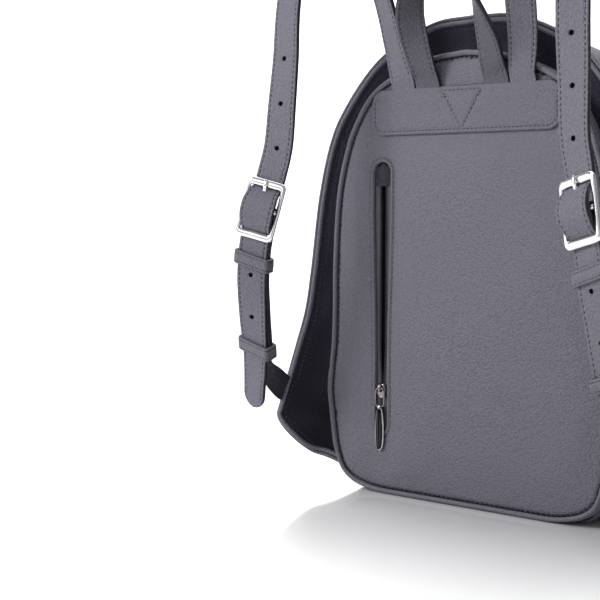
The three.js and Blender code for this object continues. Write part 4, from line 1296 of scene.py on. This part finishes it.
def lower_strap(name, side):
    frames = lower_path()
    count = len(frames)
    tab = np.interp(np.arange(TAB_STEPS), TAB_STEPS * np.array(TAB_SHARES), TAB_WIDTHS)
    wides = list(tab) + [STRAP_WIDTH] * (count - TAB_STEPS)
    thicks = [LOWER_THICKNESS] * count
    # The lower strap and its tab wear the near-black leather, as painted shade.
    leather_strap(f"lower_strap_{name}", frames, wides, thicks, side, SHADED_LOWER_LEATHER, slice(6, count - 3))


def carry_handle():
    root, root_thick = root_frames(-HANDLE_ROOT_X)
    half = [root[-1]["place"]]
    turning = [0.0]
    for row in HANDLE_ROWS:
        half.append(np.array([
            -row["across"] * HANDLE_ROOT_X,
            -STRAP_THICKNESS - row["out"] * HANDLE_RISE,
            PATCH_TOP + row["up"] * HANDLE_RISE,
        ]))
        turning.append(row["turn"])
    flip = np.array([-1, 1, 1])
    points = half + [p * flip for p in half[-2::-1]]
    angles = [np.array([turn, 0.0, 0.0]) for turn in turning + [180 - turn for turn in turning[-2::-1]]]
    arch = frames_along(points, angles, 150)
    start = root[:-1]
    end = [dict(f, place=f["place"] * flip, width=-f["width"]) for f in start[::-1]]
    frames = [start[0]]
    for spot in start[1:] + arch + end:
        before = frames[-1]
        turned = {key: -spot[key] for key in ("width", "face") if np.dot(spot[key], before[key]) < 0}
        frames.append(dict(spot, **turned))
    thicks = root_thick[:-1] + [STRAP_THICKNESS] * len(arch) + root_thick[-2::-1]
    wides = [ROOT_WIDTH] * len(frames)
    leather_strap("carry_handle", frames, wides, thicks, 1, SHADED_HANDLE_LEATHER, slice(4, len(frames) - 4))


# Buckle and keepers

def set_on(spot, points, side):
    """Points of (across, up along the strap, out) turned into the part's frame."""
    placed = (
        spot["place"] + points[:, :1] * spot["width"]
        - points[:, 1:2] * spot["tangent"] + points[:, 2:3] * spot["face"]
    )
    placed[:, 0] *= side
    return placed


def buckle(name, side):
    spot = hang_frame(0, BAR_OUT)
    rings = []
    for inset, out in BUCKLE_SECTION:
        loop = loop_around(
            BUCKLE_WIDTH / 2 - inset * BUCKLE_SIDE, BUCKLE_HEIGHT / 2 - inset * BUCKLE_BAR,
            BUCKLE_CORNER * (1 - 0.7 * inset), steps=9, per_side=8,
        )
        rings.append(set_on(spot, points_from(*loop.T, out * BUCKLE_THICKNESS / 2), side))
    rings_piece(
        f"buckle_{name}_frame", rings, SILVER, "buckle_metal", [f"buckle_frame_{name}"], endless=True,
    )
    up, out = (CENTRE_BAR * way for way in round_way(20))
    reach = BUCKLE_WIDTH / 2 - BUCKLE_SIDE * 0.6
    bar = [set_on(spot, points_from(across, up, out), side) for across in (-reach, reach)]
    rings_piece(f"buckle_{name}_bar", bar, SILVER, "buckle_metal", ends=True)
    tongue(name, side)


def tongue(name, side):
    tip_out = BAR_OUT + BUCKLE_THICKNESS / 2 + LAYER_GAP + TONGUE_RADIUS
    rows = [
        (0.02, BAR_OUT + 1.4, 1.0), (0.3, BAR_OUT + 1.5, 1.0), (0.6, BAR_OUT + 1.5, 1.0),
        (0.75, BAR_OUT + 1.9, 1.0), (0.88, tip_out + 0.15, 0.95), (1.0, tip_out + 0.3, 0.85),
        (1.1, tip_out, 0.7), (1.15, tip_out - 0.15, 0.4), (1.165, tip_out - 0.2, 0.1),
    ]
    points = [np.array([along * BAR_ALONG, out, size]) for along, out, size in rows]
    cosines, sines = round_way(16)
    rings = []
    for share in even_shares(points, 30):
        along, out, size = curve_point(points, share)
        half_wide = (TONGUE_RADIUS + TONGUE_WIDTH / 6) * size
        ring = points_from(cosines * half_wide, 0.0, sines * TONGUE_RADIUS * size)
        rings.append(set_on(hang_frame(along, out), ring, side))
    rings_piece(
        f"buckle_{name}_tongue", rings, SILVER, "buckle_metal", [f"buckle_tongue_{name}"], ends=True,
    )
    spot = hang_frame(0, BAR_OUT)
    hoop = []
    for share, wall in ((-1, 0.8), (-0.8, 1.0), (0.8, 1.0), (1, 0.8), (1, 0.0), (-1, 0.0)):
        radius = CENTRE_BAR + PIN_PLAY + wall
        ring = points_from(share * TONGUE_WIDTH / 2, cosines * radius, sines * radius)
        hoop.append(set_on(spot, ring, side))
    rings_piece(f"buckle_{name}_tongue_ring", hoop, SILVER, "buckle_metal", endless=True)


def keeper(name, place, side):
    stack = STRAP_THICKNESS + 2 * (LOWER_THICKNESS + LAYER_GAP)
    spot = hang_frame(KEEPER_ALONG[place], (STRAP_THICKNESS - stack) / 2)
    half_wide = STRAP_WIDTH / 2 + KEEPER_PLAY
    half_deep = stack / 2 + KEEPER_PLAY

    def band(wall, share, per_side):
        loop = loop_around(half_wide + wall, half_deep + wall, 0.6 + wall, steps=6, per_side=per_side)
        across, out = loop.T
        bow = 1 + 0.02 * np.cos(across / half_wide * 1.4)
        return points_from(across, share * KEEPER_HEIGHT / 2 + KEEPER_SLANT * across, out * bow)

    rings = [set_on(spot, band(wall, share, 6), side) for wall, share in KEEPER_SECTION]
    node = f"keeper_{place}_{name}"
    rings_piece(f"{node}_leather", rings, STRAP_LEATHER, "leather", [node], endless=True)
    centre = set_on(spot, np.zeros((1, 3)), side)
    runs = []
    for share in (-0.63, 0.63):
        points = band(2.0, share, 14)
        ups = unit(set_on(spot, points * np.array([0.25, 0.0, 1.0]), side) - centre)
        runs.append(stitch_run(set_on(spot, points, side), ups, closed=True, pitch=2.9))
    stitching(f"{node}_stitches", runs, length=2.0, radius=0.28)


# Pocket: lining, zip and puller

def tape_edge(z):
    """How far the zip's edge lies from the middle at a height, from closed to open."""
    bottom, top = WINDOW_BOTTOM + WINDOW_HALF_WIDTH, WINDOW_TOP - WINDOW_HALF_WIDTH
    heights, shares = zip(*TAPE_ROWS)
    open_share = np.interp((z - bottom) / (top - bottom), heights, shares)
    return SEAM_GAP + (WINDOW_HALF_WIDTH - 2 * SEAM_GAP - TAPE_OPEN_WIDTH) * open_share


def sheet_ring(xs, depth, z, thick):
    """One section of a sheet in the window, thick millimetres deep."""
    front = points_from(POCKET_X + xs, depth, z)
    return np.vstack([front, front[::-1] + np.array([0.0, thick, 0.0])])


def zip_tape(name, side):
    outer = WINDOW_HALF_WIDTH + 1.2
    steps = np.linspace(0, 1, 7)
    rings = []
    for z in np.arange(WINDOW_BOTTOM + 2.0, WINDOW_TOP - 3.0, 1.6):
        edge = tape_edge(z)
        bow = 0.25 * np.sin(math.pi * steps) + 0.12 * math.sin(z / 9.0)
        rings.append(sheet_ring(side * (edge + (outer - edge) * steps), TAPE_DEPTH - 0.1 - bow, z, 0.8))
    rings_piece(f"zip_tape_{name}_weave", rings, TAPE, "zip_cloth", [f"zip_tape_{name}"], ends=True)
    coil(name, side)


def coil(name, side):
    """The zip's teeth along one edge of the tape."""
    rows = 5
    cosines, sines = round_way(8)
    rings = []
    for i in range(rows):
        lift = math.pi * (i + 0.5) / rows - math.pi / 2
        rings.append(points_from(math.sin(lift), math.cos(lift) * cosines, math.cos(lift) * sines))
    tooth = np.concatenate(rings) * np.array([1.15, 0.62, 0.46])
    points = []
    shift = COIL_PITCH / 2 if side > 0 else 0.0
    for z in np.arange(WINDOW_BOTTOM + 5.0, WINDOW_TOP - 8.0, COIL_PITCH):
        if abs(z - SLIDER_Z) >= SLIDER_LENGTH / 2 - 1:
            across = side * (tape_edge(z + shift) + 0.25)
            points.append(tooth + np.array([POCKET_X + across, TAPE_DEPTH - 0.55, z + shift]))
    faces = copied_faces(grid_faces(rows, len(sines), ends=True), len(tooth), len(points))
    mesh_piece(f"zip_coil_{name}", np.concatenate(points), faces, EDGE_PAINT)


def pouch():
    """The dark lining behind the window: a flat bag that widens to the right."""
    left = POCKET_X - WINDOW_HALF_WIDTH - POUCH_MARGIN
    near = PANEL_THICKNESS + SEAM_GAP
    far = near + POUCH_DEPTH
    middle_z = (WINDOW_BOTTOM + WINDOW_TOP) / 2
    window_half = (WINDOW_TOP - WINDOW_BOTTOM) / 2
    pouch_x = left + POUCH_WIDTH / 2
    half_x, half_z = POUCH_WIDTH / 2, window_half + POUCH_MARGIN
    rows = [
        (POCKET_X, WINDOW_HALF_WIDTH + 0.6, window_half + 0.4, 6.0, 3.6),
        (POCKET_X, WINDOW_HALF_WIDTH + 0.3, window_half + 0.2, 6.0, 8.6),
        (POCKET_X, WINDOW_HALF_WIDTH, window_half, 5.9, near + 0.8),
        (pouch_x, half_x - 4, half_z - 4, 6.0, near + 1.6),
        (pouch_x, half_x - 1.6, half_z - 1.6, 5.0, near + 3.2),
        (pouch_x, half_x - 1.6, half_z - 1.6, 5.0, far - 3.0),
        (pouch_x, half_x - 4, half_z - 4, 5.0, far - 1.6),
        (pouch_x, half_x - 30, half_z - 50, 5.0, far - 1.4),
        (pouch_x, 4, 40, 3.9, far - 1.5),
    ]
    rings = []
    for centre_x, ring_x, ring_z, radius, depth in rows:
        loop = loop_around(ring_x, ring_z, radius, per_side=22) + np.array([centre_x, middle_z])
        ring = raised_to(loop, depth)
        if depth > near + 1:
            ring[:, 1] += 0.5 * grain_noise(ring, 30.0, 11.0)
        rings.append(ring)
    thicken(rings_piece("pocket_lining_bag", rings, LINING, "pocket_cloth", ["pocket_pouch"]), 0.8)


def garage():
    """The leather flap that covers the top of the zip, with a stitched hem."""
    top = WINDOW_TOP - 0.6
    bottom = WINDOW_TOP - SEAM_GAP - GARAGE_LENGTH
    half = WINDOW_HALF_WIDTH - 0.25
    xs = np.linspace(-1, 1, 15)
    rings = []
    for z in np.linspace(bottom, top, 20):
        reach = half if z < top - half else math.sqrt(max(half ** 2 - (z - top + half) ** 2, 0.2))
        lift = 0.5 * ridge(z - bottom, 2.2)
        hem = 0.45 * ridge(z - bottom - GARAGE_HEM, 0.8)
        depth = 0.5 + 2.2 * xs ** 2 - lift + hem + 1.2 * smoothstep(top - 6, top, z)
        curl = 0.6 * (1 - xs ** 2) * ridge(z - bottom, 1.0)
        rings.append(sheet_ring(xs * reach, depth, z - curl, 1.1))
    rings_piece("zip_garage_leather", rings, GARAGE_LEATHER, "leather", ["zip_garage"], ends=True)
    xs = np.linspace(-0.8, 0.8, 12)
    line = points_from(POCKET_X + xs * half, 0.65 + 2.2 * xs ** 2, bottom + GARAGE_HEM)
    ups = unit(points_from(xs * 0.7, -1.0, 0.0))
    stitching("zip_garage_stitches", [stitch_run(line, ups, pitch=2.4)], length=1.6, radius=0.26)


def outline_rings(outline, centre, steps):
    """Rings of an XZ outline at (inset, depth) steps, drawn in towards its middle line."""
    tangent = unit(np.roll(outline, -1, axis=0) - np.roll(outline, 1, axis=0))
    normal = points_from(-tangent[:, 1], tangent[:, 0])
    inwards = normal * np.where(np.sum(normal * (centre - outline), axis=1) < 0, -1, 1)[:, None]
    return [raised_to(outline + inwards * inset, depth) for inset, depth in steps]


def slider():
    cosines, sines = round_way(48)
    waist = 1 - 0.16 * smoothstep(0.0, -1.0, sines)
    shape = points_from(
        POCKET_X + SLIDER_WIDTH / 2 * waist * np.sign(cosines) * np.abs(cosines) ** 0.62,
        SLIDER_Z + SLIDER_LENGTH / 2 * np.sign(sines) * np.abs(sines) ** 0.7,
    )
    plates = [
        (0.9, SLIDER_BACK), (0.1, SLIDER_BACK - 0.3), (0.0, SLIDER_BACK - 0.9), (0.9, SLIDER_BACK - 1.3),
        (0.9, SLIDER_FRONT + 1.2), (0.0, SLIDER_FRONT + 0.9), (0.1, SLIDER_FRONT + 0.35),
        (0.6, SLIDER_FRONT), (1.8, SLIDER_FRONT - 0.12),
    ]
    body = outline_rings(shape, np.array([POCKET_X, SLIDER_Z]), plates)
    rings_piece("zip_slider_body", body, GUNMETAL, "zip_metal", ["zip_slider"], ends=True)
    angle = np.linspace(0, math.pi, 14)
    rise = (LINK_WIRE + PIN_PLAY + 0.75) * 2 * 0.78
    arch = points_from(POCKET_X, SLIDER_FRONT + 0.2 - rise * np.sin(angle), LINK_Z + 3.1 * np.cos(angle))
    across = np.array([1.0, 0.0, 0.0])
    outs = np.cross(unit(np.gradient(arch, axis=0)), across)
    cosines, sines = round_way(12)
    bridge = [
        middle + np.outer(cosines * 1.2, across) + np.outer(sines * 0.55, out)
        for middle, out in zip(arch, outs)
    ]
    rings_piece("zip_slider_bridge", bridge, GUNMETAL, "zip_metal", ends=True)


def link():
    half = LINK_WIDTH / 2
    loop = loop_around(half, LINK_LENGTH / 2, half * 0.86, per_side=4)
    line = raised_to(loop + np.array([POCKET_X, LINK_Z - LINK_LENGTH / 2]), LINK_Y)
    wire = tube_rings(line, LINK_WIRE + 0.05, sides=10)
    rings_piece("zip_link_wire", wire, GUNMETAL, "zip_metal", ["zip_link"], "pull_link", endless=True)


def bezier(corners, count):
    a, b, c, d = np.array(corners)
    t = np.linspace(0, 1, count)[:, None]
    return a * (1 - t) ** 3 + 3 * b * t * (1 - t) ** 2 + 3 * c * t * t * (1 - t) + d * t ** 3


def puller():
    top = PULLER_EYE_Z - LINK_WIRE - PIN_PLAY
    bottom = top - PULLER_LENGTH
    half = PULLER_WIDTH / 2
    low = bottom + 0.6
    right = bezier([(half * 0.5, top), (half, top - 6), (half * 1.1, low + 12), (half * 0.75, low + 4)], 20)
    tip = bezier([
        (half * 0.75, low + 4), (half * 0.35, low - 0.4), (-half * 0.35, low - 0.4), (-half * 0.75, low + 4),
    ], 12)[1:-1]
    left = right[::-1] * np.array([-1, 1])
    shape = np.vstack([right, tip, left]) + np.array([POCKET_X, 0])
    centre = points_from(POCKET_X, np.clip(shape[:, 1], bottom + 5, top - 3))
    near, far = LINK_Y - PULLER_THICKNESS / 2, LINK_Y + PULLER_THICKNESS / 2
    leaf = outline_rings(shape, centre, [
        (0.5, far), (0.1, far - 0.15), (0.0, far - 0.45), (0.0, near + 0.5), (0.15, near + 0.2),
        (0.75, near), (1.0, near + 0.12), (1.15, near + 0.3),
    ])
    rings_piece("zip_puller_leaf", leaf, SILVER_DARK, "zip_metal", ["zip_puller"], "puller", ends=True)
    inlay = points_from(POCKET_X + (shape[:, 0] - POCKET_X) * INLAY_SHARE - INLAY_SHIFT, shape[:, 1])
    middle = centre - np.array([INLAY_SHIFT, 0.0])
    rim = outline_rings(inlay, middle, [
        (0.7, near + 0.28), (0.8, near - 0.02), (1.1, near - 0.06), (1.1, near + 0.6), (0.7, near + 0.6),
    ])
    rings_piece("zip_puller_inlay", rim, ENAMEL, "zip_metal", (), "puller", endless=True)
    crown = outline_rings(inlay, middle, [(1.05, near - 0.06), (1.6, near - 0.16), (2.1, near - 0.2)])
    rings_piece("zip_puller_face", crown, ENAMEL, "zip_metal", (), "puller", ends=True)
    cosines, sines = round_way(20)
    bore = LINK_WIRE + PIN_PLAY
    hoop = []
    for share, wall in ((-1, 0.7), (-0.8, 0.9), (0.8, 0.9), (1, 0.7), (1, 0.0), (-1, 0.0)):
        across = POCKET_X + share * LINK_WIDTH * 0.18
        radius = bore + wall
        hoop.append(points_from(across, LINK_Y + cosines * radius, PULLER_EYE_Z + sines * radius))
    rings_piece("zip_puller_barrel", hoop, SILVER_DARK, "zip_metal", (), "puller", endless=True)


shell()
gusset()
rim_piping()
panel()
lip()
patch()
carry_handle()
pouch()
garage()
slider()
link()
puller()
for side_name, side_sign in (("left", -1), ("right", 1)):
    shoulder_strap(side_name, side_sign)
    lower_strap(side_name, side_sign)
    buckle(side_name, side_sign)
    keeper(side_name, "upper", side_sign)
    keeper(side_name, "lower", side_sign)
    zip_tape(side_name, side_sign)

# Stage, lights and camera


def floor_look():
    """A pale floor, even away from the bag, painted darker near the bag as a painted contact shadow, where
    it also mirrors a little through a glossy coat.
    """
    look = Look("pale_floor")
    cloud = look.ranged(look.noise(3.0, 2.0), 0.3, 0.7)
    tone = look.mix(cloud, (0.93, 0.93, 0.935, 1.0), (0.96, 0.96, 0.96, 1.0))
    reach = look.add("VectorMath", {0: look.stretched(FLOOR_FOOT)}, "Value", operation="LENGTH")
    # Painted shade: near the bag's foot the floor's colour darkens as a contact shadow; the same share also
    # turns on the glossy coat there.
    near = look.ranged(reach, 0.8, 2.3, 1.0, 0.0)
    return look.shade({
        "Base Color": look.mix(near, tone, (0.76, 0.76, 0.77, 1.0)),
        "Roughness": 0.3,
        "Specular IOR Level": 0.2,
        "Coat Weight": near,
        "Coat Roughness": 0.06,
        "Coat IOR": 2.0,
    })


def stage():
    """A floor that curves up into a backdrop."""
    bend = np.radians(np.linspace(0, 90, 16))
    backs = [-6.0, STAGE_BEND, *(STAGE_BEND + STAGE_RADIUS * np.sin(bend)), STAGE_BEND + STAGE_RADIUS]
    heights = [0.0, 0.0, *(STAGE_RADIUS * (1 - np.cos(bend))), 6.0]
    turned = math.radians(CAMERA_TURN)
    points = []
    for back, z in zip(backs, heights):
        for side in (-7.0, 7.0):
            x = -back * math.sin(turned) + side * math.cos(turned)
            y = back * math.cos(turned) + side * math.sin(turned)
            points.append((x, y, z))
    faces = [(2 * i, 2 * i + 1, 2 * i + 3, 2 * i + 2) for i in range(len(backs) - 1)]
    mesh = bpy.data.meshes.new("stage_floor")
    mesh.from_pydata(points, [], faces)
    mesh.materials.append(floor_look())
    mesh.polygons.foreach_set("use_smooth", [True] * len(mesh.polygons))
    new_object("stage_floor", mesh)


def area_light(name, place, target, size, power):
    data = bpy.data.lights.new(name, "AREA")
    data.shape = "RECTANGLE"
    data.size, data.size_y = size
    data.energy = power
    made = new_object(name, data)
    made.location = place
    made.rotation_euler = (Vector(target) - Vector(place)).to_track_quat("-Z", "Y").to_euler()


def lights():
    for row in LIGHT_ROWS:
        area_light(**row)
    world = bpy.data.worlds.new("studio")
    world.use_nodes = True
    background = world.node_tree.nodes["Background"]
    background.inputs["Color"].default_value = (1.0, 1.0, 1.0, 1.0)
    background.inputs["Strength"].default_value = 0.27
    bpy.context.scene.world = world


def camera():
    data = bpy.data.cameras.new("photo_camera")
    data.lens = CAMERA_LENS
    data.sensor_width = 36.0
    made = new_object("photo_camera", data)
    made.location = CAMERA_PLACE
    made.rotation_euler = (math.radians(CAMERA_TILT), 0.0, math.radians(CAMERA_TURN))
    bpy.context.scene.camera = made


stage()
lights()
camera()
bpy.context.scene.view_settings.view_transform = "Standard"
